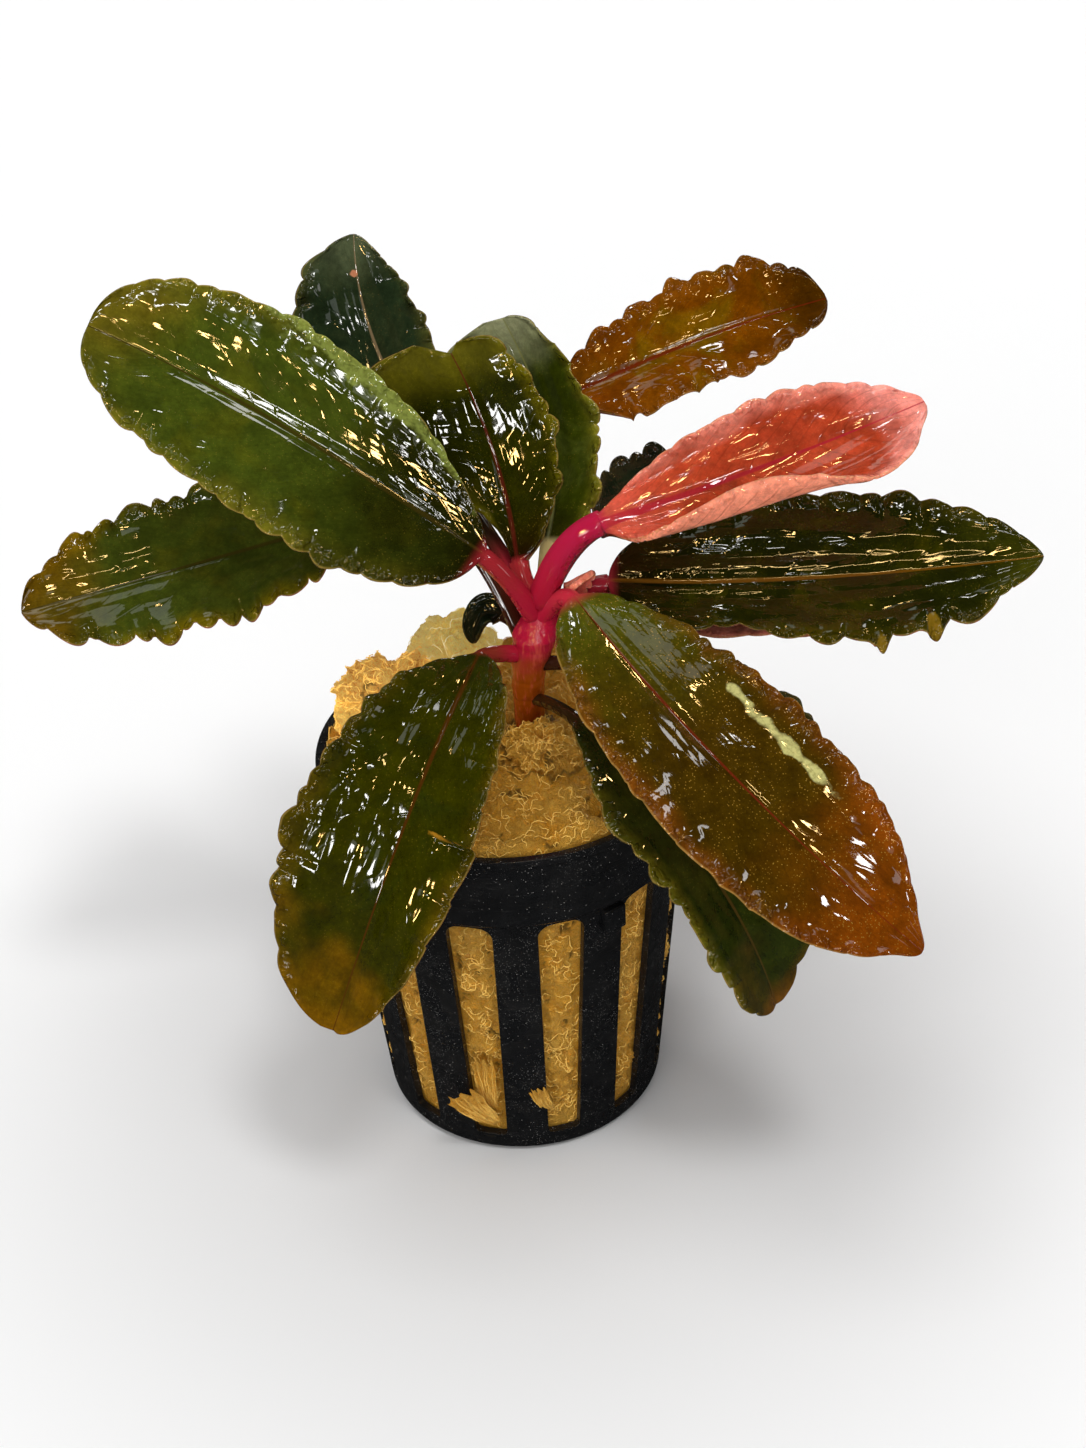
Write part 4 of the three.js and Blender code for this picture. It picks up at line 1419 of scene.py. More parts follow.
class Wadding(Effect):
    """Matted wool: swirling fibres, brown clots and damp, with painted shade in its hollows and pits."""

    NAME = "wadding"
    COLOURS = ("Body", "Clot", "Pale")
    VALUES = ("Clots", "Fuzz", "Pit", "Crust")

    @classmethod
    def fill(cls, graph: Graph, given: bpy.types.NodeOutputs, results: bpy.types.NodeInputs) -> None:
        """Builds the group's inside.

        Args:
            graph: The group's nodes.
            given: What the group is given, by name.
            results: Where its results go, by name.
        """
        place = graph.place()
        swirl = graph.noise(place, 0.55, 5.0, 0.62, 2.2)
        ridge = graph.math("ABSOLUTE", graph.math("MULTIPLY_ADD", swirl, 2.0, -1.0))
        thread = graph.ramp(ridge, 0.16, 0.0)
        fine = graph.noise(place, 2.2, 4.0, 0.65, 1.6)
        threadlet = graph.ramp(graph.math("ABSOLUTE", graph.math("MULTIPLY_ADD", fine, 2.0, -1.0)), 0.2, 0.0)
        clump = graph.noise(place, 0.16, 3.0, 0.6)
        clot = graph.times(graph.ramp(graph.noise(place, 0.4, 4.0, 0.7, 0.8), 0.5, 0.68), given["Clots"])
        clot = graph.math("MAXIMUM", clot, given["Crust"])
        paint = graph.blend(graph.ramp(clump, 0.4, 0.7, 0.0, 0.5), given["Body"], given["Pale"])
        paint = graph.blend(clot, paint, given["Clot"])
        paint = graph.blend(graph.times(thread, 0.5), paint, given["Pale"])
        paint = graph.blend(graph.times(threadlet, 0.4), paint, given["Pale"])
        # Painted shade: the colour darkens in the swirls' troughs and where the mesh marks a pit, the stem's
        # hole or wool deep behind the pot's wall
        painted_hollow_shade = graph.times(graph.ramp(swirl, 0.34, 0.46, 0.78, 1.0), graph.ramp(fine, 0.3, 0.5, 0.82, 1.0))
        painted_hollow_shade = graph.times(painted_hollow_shade, graph.ramp(given["Pit"], 0.0, 0.9, 1.0, 0.34))
        shade = graph.grey(painted_hollow_shade)
        graph.put(graph.blend(1.0, paint, shade, "MULTIPLY"), results["Color"])
        graph.put(graph.ramp(clump, 0.35, 0.7, 0.42, 0.7), results["Roughness"])
        height = graph.times(thread, 0.26)
        height = graph.math("MULTIPLY_ADD", threadlet, 0.14, height)
        height = graph.math("MULTIPLY_ADD", fine, 0.3, height)
        height = graph.math("MULTIPLY_ADD", swirl, 0.45, height)
        graph.put(graph.times(height, given["Fuzz"]), results["Height"])


@dataclass(frozen=True)
class WoolTint:
    """The finish of one body of wool."""

    body: Triple = (250, 168, 38)
    clot: Triple = (190, 106, 12)
    pale: Triple = (254, 200, 84)
    fibre: Triple = (255, 208, 104)
    clots: float = 0.4
    fuzz: float = 1.0
    # glow gives the wool's own colour out as emission: painted light that stands in for light scattered
    # through it
    glow: float = 0.05
    shine: float = 0.35
    fibre_roughness: float = 0.25

    def material(self, name: str, fibre: bool = False) -> bpy.types.Material:
        """Makes the wool's material, or its loose fibres'.

        Args:
            name: The material's name.
            fibre: Whether it is for the fibres.

        Returns:
            The material.
        """
        made, graph, shader = new_material(name)
        # The wool attribute's first share darkens the wadding as painted shade in its pits and hollows
        pit, crust, _ = graph.attribute("wool")
        wad = Wadding.use(
            graph,
            Body=colour(*(self.fibre if fibre else self.body)),
            Clot=colour(*(self.body if fibre else self.clot)),
            Pale=colour(*(self.fibre if fibre else self.pale)),
            Clots=self.clots,
            Fuzz=self.fuzz,
            Pit=pit,
            Crust=crust,
        )
        if fibre:
            graph.put(wad.outputs["Color"], shader.inputs["Base Color"])
            shader.inputs["Roughness"].default_value = self.fibre_roughness
        else:
            dress(graph, shader, wad)
        # Painted light: the wool's colour is also given out as emission, though the wool is no lamp
        graph.put(wad.outputs["Color"], shader.inputs["Emission Color"])
        shader.inputs["Emission Strength"].default_value = self.glow
        shader.inputs["Specular IOR Level"].default_value = self.shine
        return made


def tubes(
    name: str, paths: list[list[Vector]], radius: float, material: bpy.types.Material
) -> bpy.types.Object:
    """Makes thin tapering tubes as one mesh that rides on the plant's body.

    Args:
        name: The mesh's name.
        paths: The points of each tube's middle, in millimetres.
        radius: The radius at the middle of a tube's length.
        material: The material of them all.

    Returns:
        The new object.
    """
    curve = bpy.data.curves.new(name, "CURVE")
    curve.dimensions = "3D"
    curve.bevel_depth = radius * MM
    curve.bevel_resolution = 0
    curve.use_fill_caps = True
    for path in paths:
        line = curve.splines.new("POLY")
        line.points.add(len(path) - 1)
        for i, point in enumerate(path):
            line.points[i].co = (*(point * MM), 1.0)
            line.points[i].radius = 0.25 + 0.75 * math.sin(math.pi * i / (len(path) - 1)) ** 0.5
    holder = placed(name + "_path", curve)
    shaped = holder.evaluated_get(bpy.context.evaluated_depsgraph_get())
    data = bpy.data.meshes.new_from_object(shaped)
    bpy.data.objects.remove(holder)
    bpy.data.curves.remove(curve)
    data.name = name
    data.materials.clear()
    data.materials.append(material)
    made = placed(name, data)
    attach(made, "root")
    return made


@dataclass
class Wool:
    """A body of rock wool: a closed matted skin, and loose fibres that lie on it.

    Fibres start in the part of the skin between the heights of `band`.
    """

    node: str
    tint: WoolTint
    columns: int = 120
    rows: int = 80
    fibres: int = 500
    steps: int = 8
    stride: float = 0.5
    waviness: float = 1.1
    radius: float = 0.065
    lift: float = 0.3
    band: Pair = (0.0, 90.0)
    pitted: float = 1.0
    stem_hole: Pair = (3.4, -0.6)
    hole_radius: float = 4.4
    seed: int = 1

    def skin(self, u: float, v: float) -> Vector:
        """A point of the skin at a share of the turn and of the way up."""
        raise NotImplementedError

    def pit(self, point: Vector) -> float:
        """How deep in a hole of the matting a point is: the share both sinks the skin and darkens its colour
        as painted shade, round the stem's hole too.

        Args:
            point: The point.

        Returns:
            A share from 0 to 1.
        """
        near = noise.noise(point * 0.3 + Vector((self.seed, 7.0, 0.0))) + 0.25 * noise.noise(point * 1.3)
        away = math.hypot(point.x - self.stem_hole[0], point.y - self.stem_hole[1])
        away += 1.2 * noise.noise(point * 0.5)
        sunken = smooth(away, self.hole_radius, 0.7 * self.hole_radius) if point.z > POT.height else 0.0
        return max(smooth(near, 0.42, 0.56) * self.pitted, sunken)

    def crust(self, point: Vector) -> float:
        """How brown and dried the wool is at a point, 0 to 1."""
        return 0.0

    def mat(self, point: Vector, depth: float) -> float:
        """Height of the matted lumps at a point.

        Args:
            point: The point.
            depth: About how high they may be.

        Returns:
            The height in millimetres.
        """
        coarse = noise.noise(point * 0.27) * 1.1
        swirl = noise.turbulence(point * 0.7, 3, False, noise_basis="PERLIN_ORIGINAL")
        ridge = 0.22 * (1 - 3 * abs(noise.noise(point * 1.2)))
        return (coarse + swirl * 0.4 + ridge) * depth

    def path(self, tree: BVHTree, start: Vector, normal: Vector, draw: random.Random) -> list[Vector]:
        """Leads a wavy path over the skin that ends in it at both ends.

        Args:
            tree: The skin.
            start: Where on it the path begins.
            normal: The skin's outward direction there.
            draw: The wool's random draws.

        Returns:
            The path's points.
        """
        lean = Vector((draw.uniform(-1, 1), draw.uniform(-1, 1), draw.uniform(-1, 1)))
        way = normal.cross(lean).normalized()
        phase, pace = draw.uniform(0, 6.3), draw.uniform(0.8, 1.7)
        stride = self.stride * draw.uniform(0.6, 1.3)
        lift = self.lift * draw.uniform(0.2, 1.0)
        drift = draw.uniform(-0.25, 0.25)
        points = []
        here = start
        for i in range(self.steps + 1):
            rise = lift * math.sin(math.pi * i / self.steps) - 0.03
            points.append(here + normal * rise)
            bend = drift + self.waviness * math.sin(phase + pace * i)
            way = Matrix.Rotation(bend, 3, normal) @ way
            found, facing, _, _ = tree.find_nearest(here + way * stride)
            way = (way - facing * way.dot(facing)).normalized()
            here, normal = found, facing
        return points

    def strew(self, made: bpy.types.Object) -> bpy.types.Object:
        """Lays the loose fibres over the finished skin.

        Args:
            made: The skin's object.

        Returns:
            The fibres' object.
        """
        mesh = bmesh.new()
        mesh.from_mesh(made.data)
        bmesh.ops.scale(mesh, vec=(1 / MM, 1 / MM, 1 / MM), verts=mesh.verts)
        tree = BVHTree.FromBMesh(mesh)
        draw = random.Random(self.seed)
        low, high = self.band
        starts = [face for face in mesh.faces if low < face.calc_center_median().z < high]
        chosen = draw.choices(starts, weights=[face.calc_area() for face in starts], k=self.fibres)
        paths = [self.path(tree, face.calc_center_median(), face.normal.copy(), draw) for face in chosen]
        mesh.free()
        name = self.node + "_fibres"
        hairs = tubes(name, paths, self.radius, self.tint.material(name, fibre=True))
        return hairs

    def build(self) -> list[bpy.types.Object]:
        """Makes the wool and puts it in place of its CAD node.

        Returns:
            The wool's skin and its fibres.
        """
        mesh, spots = grid(self.columns, self.rows, ("wool",))
        facts = mesh.verts.layers.float_vector["wool"]
        for vert, u, v in spots:
            vert.co = self.skin(u % 1.0, v)
            # The first share sets painted shade in the wool's colour; the second its brown crust
            vert[facts] = (self.pit(vert.co), self.crust(vert.co), 0.0)
        seal(mesh)
        made = finished(self.node + "_matted", mesh, self.tint.material(self.node))
        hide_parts(self.node)
        return [made, self.strew(made)]


@dataclass
class Tuft:
    """A torn flake of wool that hangs out of a slot: a thin fan with fibres along it."""

    name: str
    tint: WoolTint
    root: Triple = (-4.2, -18.6, 5.2)
    end: Triple = (-9.4, -21.0, 13.4)
    out: Triple = (-0.25, -0.9, 0.2)
    narrow: float = 0.9
    wide: float = 2.6
    thick: float = 0.25
    droop: float = 0.7
    columns: int = 60
    rows: int = 60
    fibres: int = 150
    fibre_radius: float = 0.032
    seed: int = 41

    def spot(self, side: float, t: float, top: float) -> Vector:
        """A point of the flake.

        Args:
            side: -1 to 1 across it.
            t: 0 at its root to 1 at its torn end.
            top: 1 on its outer skin and -1 on its inner.

        Returns:
            The point.
        """
        root, end = Vector(self.root), Vector(self.end)
        along = (end - root).normalized()
        out = Vector(self.out)
        up = (out - along * out.dot(along)).normalized()
        frayed = 1 - 0.22 * (0.5 + noise.noise(Vector((side * 3.2, 5.0, 1.0)))) - 0.1 * side * side
        place = root.lerp(end, t * frayed)
        half = mix(self.narrow, self.wide, t**0.8) * (1 + 0.12 * noise.noise(Vector((t * 4, side, 9.0))))
        ply = noise.noise(Vector((side * 4.5, t * 1.2, 3.0))) * 0.5 * t
        lens = self.thick * math.sqrt(max(1 - side * side, 0.0)) * math.sqrt(max(1 - t, 0.0) + 0.02)
        sag = self.droop * 4 * t * (1 - t)
        return place + along.cross(up) * half * side + up * (lens * top + ply + sag * 0.5)

    def build(self) -> list[bpy.types.Object]:
        """Makes the flake and its fibres.

        Returns:
            Both objects.
        """
        mesh, spots = grid(self.columns, self.rows)
        for vert, u, v in spots:
            x = 1 - 4 * abs(u - 0.5)
            t = min(v, 1.0)
            vert.co = self.spot(x, t, 1.0 if u < 0.5 else -1.0)
        bmesh.ops.remove_doubles(mesh, verts=mesh.verts, dist=MERGE)
        bmesh.ops.holes_fill(mesh, edges=[edge for edge in mesh.edges if edge.is_boundary])
        bmesh.ops.recalc_face_normals(mesh, faces=mesh.faces)
        flake = finished(self.name, mesh, self.tint.material(self.name))
        draw = random.Random(self.seed)
        paths = []
        for _ in range(self.fibres):
            side, start, top = draw.uniform(-1, 1), draw.uniform(0, 0.5), draw.choice((-1.0, 1.0))
            reach = draw.uniform(0.3, 0.55)
            drift = draw.uniform(-0.3, 0.3)
            lift = draw.uniform(0.0, 0.1)
            steps = [i / 9 for i in range(10)]
            path = []
            for x in steps:
                across = min(max(side + drift * x + 0.04 * math.sin(9 * x + side * 9), -1.0), 1.0)
                place = self.spot(across, start + reach * x, top * (1 + 0.2 * x))
                path.append(place - Vector((0, lift * math.sin(3.1 * x), 0)))
            paths.append(path)
        name = self.name + "_fibres"
        hairs = tubes(name, paths, self.fibre_radius, self.tint.material(name, fibre=True))
        for made in (flake, hairs):
            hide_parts("rock_wool")
        return [flake, hairs]


def lumpy(x: float, y: float) -> float:
    """The gentle lumpiness of the mound, as in the CAD source."""
    return 0.6 * math.sin(0.55 * x + 1.3) * math.cos(0.6 * y + 0.4) + 0.4 * math.sin(1.1 * x - 0.9 * y)


@dataclass
class PotWool(Wool):
    """The wool that fills the pot, swells into its slots and stands over its rim in a mound."""

    form: PotForm = POT
    floor: float = 1.9
    gap: float = 0.3
    inset: float = 0.75
    crown: float = 59.0
    rim_rise: float = 1.0
    steep: float = 3.2
    wrap: tuple[float, float, float, float] = (4.6, -5.6, 6.2, 5.6)
    wall_share: float = 0.68
    floor_share: float = 0.06
    top_mat: float = 1.6
    slot_mat: float = 0.9

    def pit(self, point: Vector) -> float:
        """Holes above the pot's rim, and below it the wool's depth behind the pot's wall, which darkens its
        colour as painted shade.

        Args:
            point: The point.

        Returns:
            A share from 0 to 1.
        """
        if point.z > self.form.height:
            return max(super().pit(point), self.seam(point))
        return smooth(self.form.radius(point.z) - math.hypot(point.x, point.y), 1.3, 1.7)

    def mound(self, x: float, y: float) -> float:
        """Height of the mound over the pot.

        Args:
            x: Place to the right.
            y: Place to the back.

        Returns:
            The height above the ground.
        """
        r = math.hypot(x, y) / (self.form.rim_radius - self.form.wall)
        even = mix(self.crown, self.form.height + self.rim_rise, r**self.steep)
        return even + 0.9 * lumpy(x, y) * (1 - 0.5 * r)

    def seam(self, point: Vector) -> float:
        """The shade round the foot of the lump that wraps the stem.

        Args:
            point: The point.

        Returns:
            A share from 0 to 1.
        """
        x, y, half_x, half_y = self.wrap
        away = math.hypot((point.x - x) / half_x, (point.y - y) / half_y)
        return 0.8 * smooth(abs(away - 1.03 - 0.1 * noise.noise(point * 0.5)), 0.1, 0.0)

    def crimp(self, point: Vector) -> float:
        """Short wavy ridges across the slots, 0 to 1."""
        warped = point.z * 1.15 + 1.6 * noise.noise(point * 0.45)
        return max(1 - 4.5 * abs(noise.noise(Vector((point.x * 0.45, point.y * 0.45, warped)))), 0.0)

    def wad(self, share: float, z: float, point: Vector) -> float:
        """How far the wool swells into a slot.

        Args:
            share: Place in the slot's sector, -1 to 1.
            z: The height.
            point: The place on the wool's even skin.

        Returns:
            A share from 0 to 1.
        """
        form = self.form
        ragged = 0.5 + noise.noise(point * 0.5) + 0.4 * noise.noise(point * 1.3)
        sagging = max(noise.noise(Vector((point.x * 0.35, point.y * 0.35, 7))) + 0.25, 0)
        bottom = form.slot_bottom + 1.2 + 4.5 * sagging
        in_height = smooth(z, bottom, bottom + 0.8) * smooth(z, form.slot_top - 0.3, form.slot_top - 1.3)
        edge = form.slot_share * (0.95 - 0.42 * max(ragged, 0.0))
        return smooth(abs(share), edge, edge * 0.72) ** 0.5 * in_height

    def skin(self, u: float, v: float) -> Vector:
        """A point of the skin.

        Args:
            u: Share of the turn.
            v: Share of the way in the pot's floor, up its wall and in over the mound.

        Returns:
            The point.
        """
        form = self.form
        clear = form.wall + self.gap
        if v > self.wall_share:
            r = (form.rim_radius - clear) * (1 - v) / (1 - self.wall_share)
            flat = form.spot(u, form.height, r)
            height = self.mound(flat.x, flat.y) + self.mat(flat, self.top_mat) - 0.3 - self.pit(flat)
            return Vector((flat.x, flat.y, max(height, form.height - 0.6)))
        t = v / self.wall_share
        foot = self.floor_share
        if t < foot:
            return form.spot(u, self.floor, (form.radius(self.floor) - clear) * t / foot)
        z = mix(self.floor, form.height, (t - foot) / (1 - foot))
        inner = min(form.radius(z), form.shoulder_radius) - clear
        if z > form.collar_bottom:
            widened = smooth(z, form.collar_bottom, form.height)
            inner = mix(form.shoulder_radius, form.rim_radius, widened) - clear
        point = form.spot(u, z, inner)
        share = 2 * (u * form.slots % 1.0) - 1
        reach = self.wad(share, z, point)
        out = (clear - self.inset) * reach
        rough = self.mat(point * 1.6, self.slot_mat) - 0.35 + 0.42 * self.crimp(point)
        out += rough * min(reach * 1.5, 1.0)
        return form.spot(u, z, min(inner + out, form.radius(z) - 0.1) if reach > 0 else inner)


@dataclass
class WoolLump(Wool):
    """A loose lump of wool: an ellipsoid of the CAD's size, roughened and folded."""

    at: Triple = (0, 0, 0)
    half: Triple = (1, 1, 1)
    square: float = 1.0
    crease: float = 1.2
    crease_width: float = 0.09
    shrink: float = 0.96
    lid: float = 0.0
    rough: float = 1.7

    def crust(self, point: Vector) -> float:
        """How brown and dried the lump is: its overhanging lid is."""
        rise = (point.z - self.at[2]) / self.half[2]
        return smooth(rise, 0.3, 0.6) * min(self.lid, 1.0) * (0.7 + 0.6 * noise.noise(point * 0.6))

    def skin(self, u: float, v: float) -> Vector:
        """A point of the skin.

        Args:
            u: Share of the turn.
            v: Share of the way down.

        Returns:
            The point.
        """
        turn, fall = 2 * math.pi * u, math.pi * v
        way = Vector((math.sin(fall) * math.cos(turn), math.sin(fall) * math.sin(turn), math.cos(fall)))
        boxy = Vector([math.copysign(abs(c) ** self.square, c) for c in way])
        base = Vector([h * self.shrink * c for h, c in zip(self.half, boxy)])
        point = base + Vector(self.at)
        fold = noise.noise(point * 0.22 + Vector((self.seed, 0, 0)))
        valley = math.exp(-((fold / self.crease_width) ** 2))
        depth = self.mat(point * 1.2, self.rough) - self.rough / 2 - valley * self.crease - self.pit(point)
        rise = way.z
        torn = 0.4 + 0.9 * abs(noise.noise(point * 0.7)) + 0.5 * noise.noise(point * 1.9)
        shelf = self.lid * torn * smooth(rise, 0.3, 0.45) * smooth(rise, 0.95, 0.6)
        flat = Vector((way.x, way.y, 0.0))
        return point + base.normalized() * depth + flat * shelf


# Stem


class Flesh(Effect):
    """The stem's skin: pink above, orange-brown below, streaked along its length."""

    NAME = "stem_flesh"
    COLOURS = ("Crown", "Foot", "Streak")
    VALUES = ("Change",)

    @classmethod
    def fill(cls, graph: Graph, given: bpy.types.NodeOutputs, results: bpy.types.NodeInputs) -> None:
        """Builds the group's inside.

        Args:
            graph: The group's nodes.
            given: What the group is given, by name.
            results: Where its results go, by name.
        """
        place = graph.place()
        parts = graph.node("ShaderNodeSeparateXYZ", {0: place}).outputs
        streak = graph.noise(graph.stretched(place, (1.6, 1.6, 0.25)), 1.0, 3.0, 0.55)
        level = graph.math("MULTIPLY_ADD", graph.noise(place, 0.4, 3.0), 5.0, parts[2])
        high = graph.ramp(level, graph.minus(given["Change"], 2.5), graph.plus(given["Change"], 3.5))
        paint = graph.blend(high, given["Foot"], given["Crown"])
        paint = graph.blend(graph.ramp(streak, 0.5, 0.72, 0.0, 0.45), paint, given["Streak"])
        graph.put(paint, results["Color"])
        graph.put(graph.ramp(graph.noise(place, 0.8, 2.0), 0.4, 0.7, 0.1, 0.24), results["Roughness"])
        height = graph.times(streak, 0.12)
        height = graph.math("MULTIPLY_ADD", graph.noise(place, 0.7, 2.0), 0.25, height)
        graph.put(height, results["Height"])


@dataclass
class Stem:
    """The short thick stem: a tube through the CAD's path with leaf scars and a swollen crown."""

    path: tuple[Triple, ...] = (
        (3, 0.5, 48), (3.3, 0.2, 59), (3.4, -0.8, 66), (4.6, -0.5, 72), (6, 0.4, 76.5),
    )
    radii: tuple[float, ...] = (1.7, 2, 2.2, 2.9, 1.5)
    cap: float = 0.8
    columns: int = 48
    rows: int = 150
    scars: tuple[float, ...] = (62.5, 66.4, 70.6)
    scar_depth: float = 0.1
    scar_width: float = 0.22
    foot_share: float = 0.03
    cap_share: float = 0.05
    crown: Triple = (176, 20, 52)
    foot: Triple = (160, 72, 4)
    streak: Triple = (226, 96, 74)
    change: float = 71.0
    glow: float = 0.12
    glow_tint: Triple = (1.0, 0.25, 0.2)
    glow_reach: float = 1.5

    def material(self) -> bpy.types.Material:
        """Makes the stem's material.

        Returns:
            The material.
        """
        made, graph, shader = new_material("stem_flesh")
        flesh = Flesh.use(
            graph,
            Crown=colour(*self.crown),
            Foot=colour(*self.foot),
            Streak=colour(*self.streak),
            Change=self.change,
        )
        dress(graph, shader, flesh)
        shader.inputs["Subsurface Weight"].default_value = self.glow
        shader.inputs["Subsurface Radius"].default_value = self.glow_tint
        shader.inputs["Subsurface Scale"].default_value = self.glow_reach * MM
        return made

    def middle(self, t: float) -> tuple[Vector, float]:
        """A place on the tube's middle line.

        Args:
            t: Share of the tube's length.

        Returns:
            The point and the tube's radius there.
        """
        spans = len(self.path) - 1
        i = min(int(t * spans), spans - 1)
        x = t * spans - i
        points = [Vector(p) for p in self.path]
        a, b = points[i], points[i + 1]
        before = points[i - 1] if i else a * 2 - b
        after = points[i + 2] if i + 2 <= spans else b * 2 - a
        bend = (b - before) * 0.5 * (x - 2 * x**2 + x**3) + (after - a) * 0.5 * (x**3 - x**2)
        place = a * (2 * x**3 - 3 * x**2 + 1) + b * (3 * x**2 - 2 * x**3) + bend
        return place, mix(self.radii[i], self.radii[i + 1], x)

    def build(self) -> list[bpy.types.Object]:
        """Makes the stem and puts it in place of its CAD node.

        Returns:
            The stem's object.
        """
        mesh, spots = grid(self.columns, self.rows)
        for vert, u, v in spots:
            t = min(max((v - self.foot_share) / (1 - self.foot_share - self.cap_share), 0.0), 1.0)
            place, radius = self.middle(t)
            if v < self.foot_share:
                radius *= v / self.foot_share
            if v > 1 - self.cap_share:
                rise = (v - (1 - self.cap_share)) / self.cap_share
                radius *= math.sqrt(max(1 - rise * rise, 0.0))
                place = place + Vector((0, 0, self.cap * rise))
            turn = 2 * math.pi * u
            away = [place.z - z + 0.5 * math.sin(turn + z) for z in self.scars]
            scar = sum(math.exp(-((gap / self.scar_width) ** 2)) for gap in away)
            lump = noise.noise(Vector((math.cos(turn) * 1.2, math.sin(turn) * 1.2, place.z * 0.35)))
            radius *= 1 + 0.1 * lump
            radius -= min(scar, 1.0) * self.scar_depth * min(radius, 1.0)
            vert.co = place + Vector((radius * math.cos(turn), radius * math.sin(turn), 0))
        seal(mesh)
        made = finished("stem_flesh", mesh, self.material())
        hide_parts("stem")
        return [made]


# Each tint's glow is painted light: an emission that brightens the wool as if lit
AMBER = WoolTint()
LIGHT = WoolTint(body=(255, 192, 76), pale=(255, 214, 116), glow=0.42)
PALE = WoolTint(
    body=(255, 212, 96), clot=(206, 144, 50), pale=(254, 232, 150), fibre=(255, 244, 190), clots=0.3,
    glow=0.25,
)

WOOL = [
    PotWool("rock_wool", AMBER, columns=408, rows=210, fibres=2900, band=(3, 62), seed=31),
    WoolLump(
        "wool_stem_wrap", AMBER, at=(4.6, -5.6, 58), half=(6.2, 5.6, 4.4), columns=160, rows=110,
        fibres=320, seed=32,
    ),
    WoolLump(
        "wool_left_block", LIGHT, at=(-13.6, 2.6, 59.7), half=(8.8, 8, 6.8), columns=200, rows=140,
        fibres=620, square=0.7, shrink=0.92, lid=1.3, seed=33,
    ),
    WoolLump(
        "wool_pale_lump", PALE, at=(-6.4, 9.6, 63), half=(6.6, 5.4, 6), columns=160, rows=110,
        fibres=90, crease=3.4, rough=1.0, pitted=0.3, shrink=1.0, seed=34,
    ),
]

TUFTS = [
    Tuft("rock_wool_tuft", AMBER),
    Tuft(
        "rock_wool_tuft_high", AMBER, root=(-4.6, -18.9, 8.5), end=(-5.6, -20.7, 19.5), wide=1.7,
        fibres=90, seed=42,
    ),
    Tuft(
        "rock_wool_tuft_small", AMBER, root=(3.0, -19.2, 8.0), end=(1.3, -20.4, 13.0), wide=1.4,
        fibres=50, seed=43,
    ),
]


# Studio


class Role(Enum):
    """What a light is for: its shine on wet skins alone, or its light and shadow alone."""

    SHINE = "shine"
    LIGHT = "light"


@dataclass(frozen=True)
class Panel:
    """A rectangular light seen in wet skins, of an even radiance, that faces the plant's crown.

    Its way from the crown is about a unit long, and its size is a share of its distance.
    """

    name: str
    way: Triple
    size: Pair
    radiance: float
    tone: Triple = (1.0, 0.99, 0.97)
    distance: float = 1500.0
    crown: Triple = (5.0, 0.0, 75.0)

    def build(self) -> None:
        """Adds the light to the scene."""
        data = bpy.data.lights.new(self.name, "AREA")
        data.shape = "RECTANGLE"
        data.size, data.size_y = (share * self.distance * MM for share in self.size)
        data.energy = self.radiance * math.pi * data.size * data.size_y
        data.color = self.tone
        crown = Vector(self.crown)
        place_light(data, crown + Vector(self.way) * self.distance, crown, Role.SHINE)


@dataclass(frozen=True)
class Sky:
    """A broad soft light from far away, which gives the shades and the soft shadows."""

    name: str
    way: Triple
    strength: float
    spread: float
    tone: Triple = (1.0, 1.0, 1.0)

    def build(self) -> None:
        """Adds the light to the scene."""
        data = bpy.data.lights.new(self.name, "SUN")
        data.energy = self.strength
        data.angle = math.radians(self.spread)
        data.color = self.tone
        place_light(data, Vector(self.way) * 1000, Vector(), Role.LIGHT)


def place_light(data: bpy.types.Light, at: Vector, aim: Vector, role: Role) -> None:
    """Puts a light in place, seen only as its role says.

    Args:
        data: The light.
        at: Its place, in millimetres.
        aim: The point that it faces.
        role: What it is for.
    """
    made = placed(data.name, data)
    made.location = at * MM
    made.rotation_euler = (at - aim).to_track_quat("Z", "Y").to_euler()
    made.visible_glossy = role is Role.SHINE
    made.visible_diffuse = role is Role.LIGHT


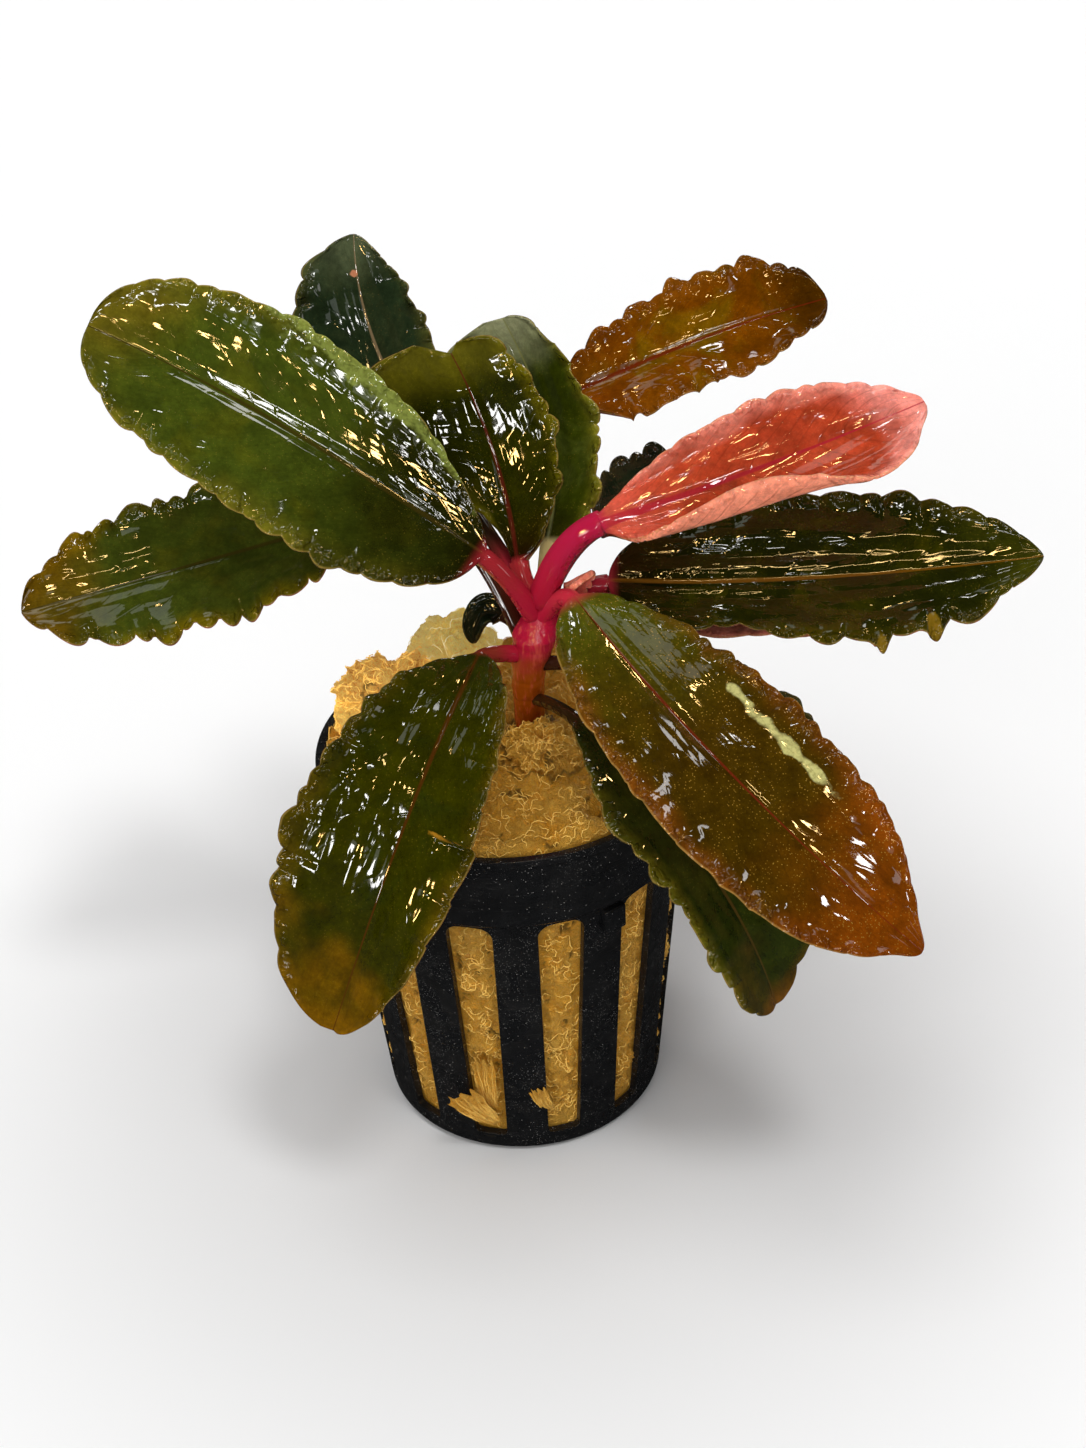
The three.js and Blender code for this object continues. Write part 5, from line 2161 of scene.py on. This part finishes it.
@dataclass(frozen=True)
class Studio:
    """The camera of the photograph, a pale floor and soft light."""

    focal_pixels: float = 2400.0
    picture_height: float = 1448.0
    sensor: float = 36.0
    pitch: float = 35.0
    roll: float = -3.0
    depth: float = 344.0
    base_pixel: Pair = (526.0, 1055.0)
    centre_pixel: Pair = (543.0, 724.0)
    floor_radius: float = 4000.0
    # The floor's colour near the pot is darker as painted shade, fading out to its far colour over
    # floor_change
    floor_near_painted_shade: float = 0.72
    floor_far: float = 0.94
    floor_change: Pair = (25.0, 115.0)
    floor_mirrored: float = 0.04
    room_seen: float = 1.0
    room_soft: float = 0.41
    room_mirrored: Triple = (0.008, 0.009, 0.008)
    lights: tuple[Panel | Sky, ...] = (
        Sky("soft_right", (0.22, -0.42, 1.0), 0.8, 11),
        Sky("soft_above", (-0.16, -0.1, 1.0), 1.0, 38),
        Sky("soft_fill", (-0.3, -1.0, 0.35), 0.8, 46),
        Sky("soft_left", (-1.0, -0.5, 0.35), 0.45, 60),
        Panel("window_front", (-0.07, -0.88, 0.47), (0.1, 0.022), 40),
        Panel("window_low", (0.12, -0.95, 0.27), (0.1, 0.06), 40),
        Panel("window_left", (-0.32, -0.94, 0.08), (0.06, 0.12), 36),
        Panel("window_rim", (-0.3, -0.9, 0.3), (0.05, 0.03), 30),
        Panel("window_side", (-0.17, -0.91, 0.38), (0.05, 0.05), 36),
        Panel("window_right", (0.36, -0.68, 0.64), (0.06, 0.04), 36),
        Panel("window_tip", (0.66, -0.42, 0.62), (0.08, 0.05), 36),
        Panel("window_high", (0.2, -0.13, 0.97), (0.05, 0.025), 30),
        Panel("window_back", (0.01, 0.3, 0.95), (0.05, 0.04), 30),
        Panel("groove", (0.43, 0.22, 0.88), (0.13, 0.13), 10),
        Panel("window_foot", (-0.55, -0.83, 0.05), (0.16, 0.05), 36),
        Panel("sheen_side", (0.86, -0.4, 0.3), (0.2, 0.3), 3),
        Panel("window_rear", (0.3, 0.92, 0.25), (0.2, 0.12), 14),
        Panel("window_rear_left", (-0.62, 0.74, 0.3), (0.12, 0.1), 14),
        Panel("sheen_left", (-0.32, -0.93, 0.14), (0.2, 0.14), 1.6, (0.96, 1.0, 0.9)),
        Panel("sheen_high", (-0.16, 0.02, 0.99), (0.3, 0.2), 1.7, (0.94, 1.0, 0.88)),
        Panel("sheen_back", (-0.2, 0.6, 0.77), (0.24, 0.2), 2.0, (0.94, 1.0, 0.88)),
        Panel("sheen_right", (0.4, -0.71, 0.57), (0.14, 0.2), 1.3, (0.94, 1.0, 0.94)),
        Panel("strip_over", (0.0, -0.56, 0.83), (0.16, 0.02), 50, (1.0, 0.66, 0.26)),
        Panel("warm_front", (0.11, -0.79, 0.6), (0.06, 0.03), 110, (1.0, 0.62, 0.22)),
        Panel("warm_low", (-0.1, -0.8, 0.59), (0.03, 0.03), 110, (1.0, 0.6, 0.2)),
        Panel("warm_left", (-0.65, -0.73, 0.2), (0.09, 0.08), 110, (1.0, 0.6, 0.2)),
        Panel("warm_right", (0.27, -0.56, 0.78), (0.03, 0.02), 110, (1.0, 0.64, 0.26)),
        Panel("warm_high", (-0.08, -0.2, 0.97), (0.05, 0.025), 110, (1.0, 0.62, 0.22)),
        Panel("warm_back", (0.5, 0.55, 0.67), (0.05, 0.04), 110, (1.0, 0.62, 0.22)),
    )

    def camera(self) -> None:
        """Puts the camera where the photograph was taken from."""
        pitch, roll = math.radians(self.pitch), math.radians(self.roll)
        forward = Vector((0, math.cos(pitch), -math.sin(pitch)))
        upright = Vector((0, math.sin(pitch), math.cos(pitch)))
        right = Vector((1, 0, 0)) * math.cos(roll) + upright * math.sin(roll)
        up = upright * math.cos(roll) - Vector((1, 0, 0)) * math.sin(roll)
        across = (self.base_pixel[0] - self.centre_pixel[0]) / self.focal_pixels
        down = (self.base_pixel[1] - self.centre_pixel[1]) / self.focal_pixels
        place = (forward + right * across - up * down) * -self.depth
        data = bpy.data.cameras.new("camera")
        data.sensor_width = self.sensor
        data.lens = self.focal_pixels * self.sensor / self.picture_height
        data.clip_start = 0.01
        data.clip_end = 100.0
        made = placed("camera", data)
        turn = Matrix((right, up, -forward)).transposed().to_4x4()
        made.matrix_world = Matrix.Translation(place * MM) @ turn
        bpy.context.scene.camera = made

    def floor(self) -> None:
        """Lays a wide floor with painted shade, darker near the pot and paler away from it, that is dim in
        reflections.
        """
        mesh = bmesh.new()
        bmesh.ops.create_circle(mesh, cap_ends=True, segments=96, radius=self.floor_radius * MM)
        data = bpy.data.meshes.new("floor")
        mesh.to_mesh(data)
        mesh.free()
        made = placed("floor", data)
        material, graph, shader = new_material("pale_floor")
        mirrored = graph.node("ShaderNodeLightPath").outputs["Is Glossy Ray"]
        away = graph.node("ShaderNodeVectorMath", {0: graph.place()}, operation="LENGTH").outputs["Value"]
        tones = (self.floor_near_painted_shade, self.floor_far, self.floor_mirrored)
        near, far, dim = [(tone, tone, tone, 1.0) for tone in tones]
        # Painted shade: the floor is darker near the pot
        pale = graph.blend(graph.ramp(away, *self.floor_change), near, far)
        graph.put(graph.blend(mirrored, pale, dim), shader.inputs["Base Color"])
        shader.inputs["Roughness"].default_value = 1.0
        shader.inputs["Specular IOR Level"].default_value = 0.0
        data.materials.append(material)

    def surroundings(self) -> None:
        """Makes a room that is white to the eye, grey as soft light and dim in reflections."""
        world = bpy.data.worlds.new("room")
        world.use_nodes = True
        bpy.context.scene.world = world
        graph = Graph(world.node_tree)
        path = graph.node("ShaderNodeLightPath").outputs
        room = world.node_tree.nodes["Background"]
        plain = graph.math("MAXIMUM", path["Is Camera Ray"], path["Is Diffuse Ray"])
        seen, soft = [(tone, tone, tone, 1.0) for tone in (self.room_seen, self.room_soft)]
        direct = graph.blend(path["Is Camera Ray"], soft, seen)
        graph.put(graph.blend(plain, (*self.room_mirrored, 1.0), direct), room.inputs["Color"])

    def build(self) -> None:
        """Sets up the whole studio."""
        self.camera()
        self.floor()
        self.surroundings()
        for light in self.lights:
            light.build()
        view = bpy.context.scene.view_settings
        view.view_transform = "Standard"
        view.look = "None"


def main() -> None:
    """Builds the plant, its pot and the studio."""
    logging.basicConfig(level=logging.INFO, format="%(message)s")
    Studio().build()
    for part in (NetPot(), *WOOL, *TUFTS, Stem(), *LEAVES):
        for piece in part.build():
            log.info("%s: %d faces", piece.name, len(piece.data.polygons))


if __name__ == "__main__":
    main()
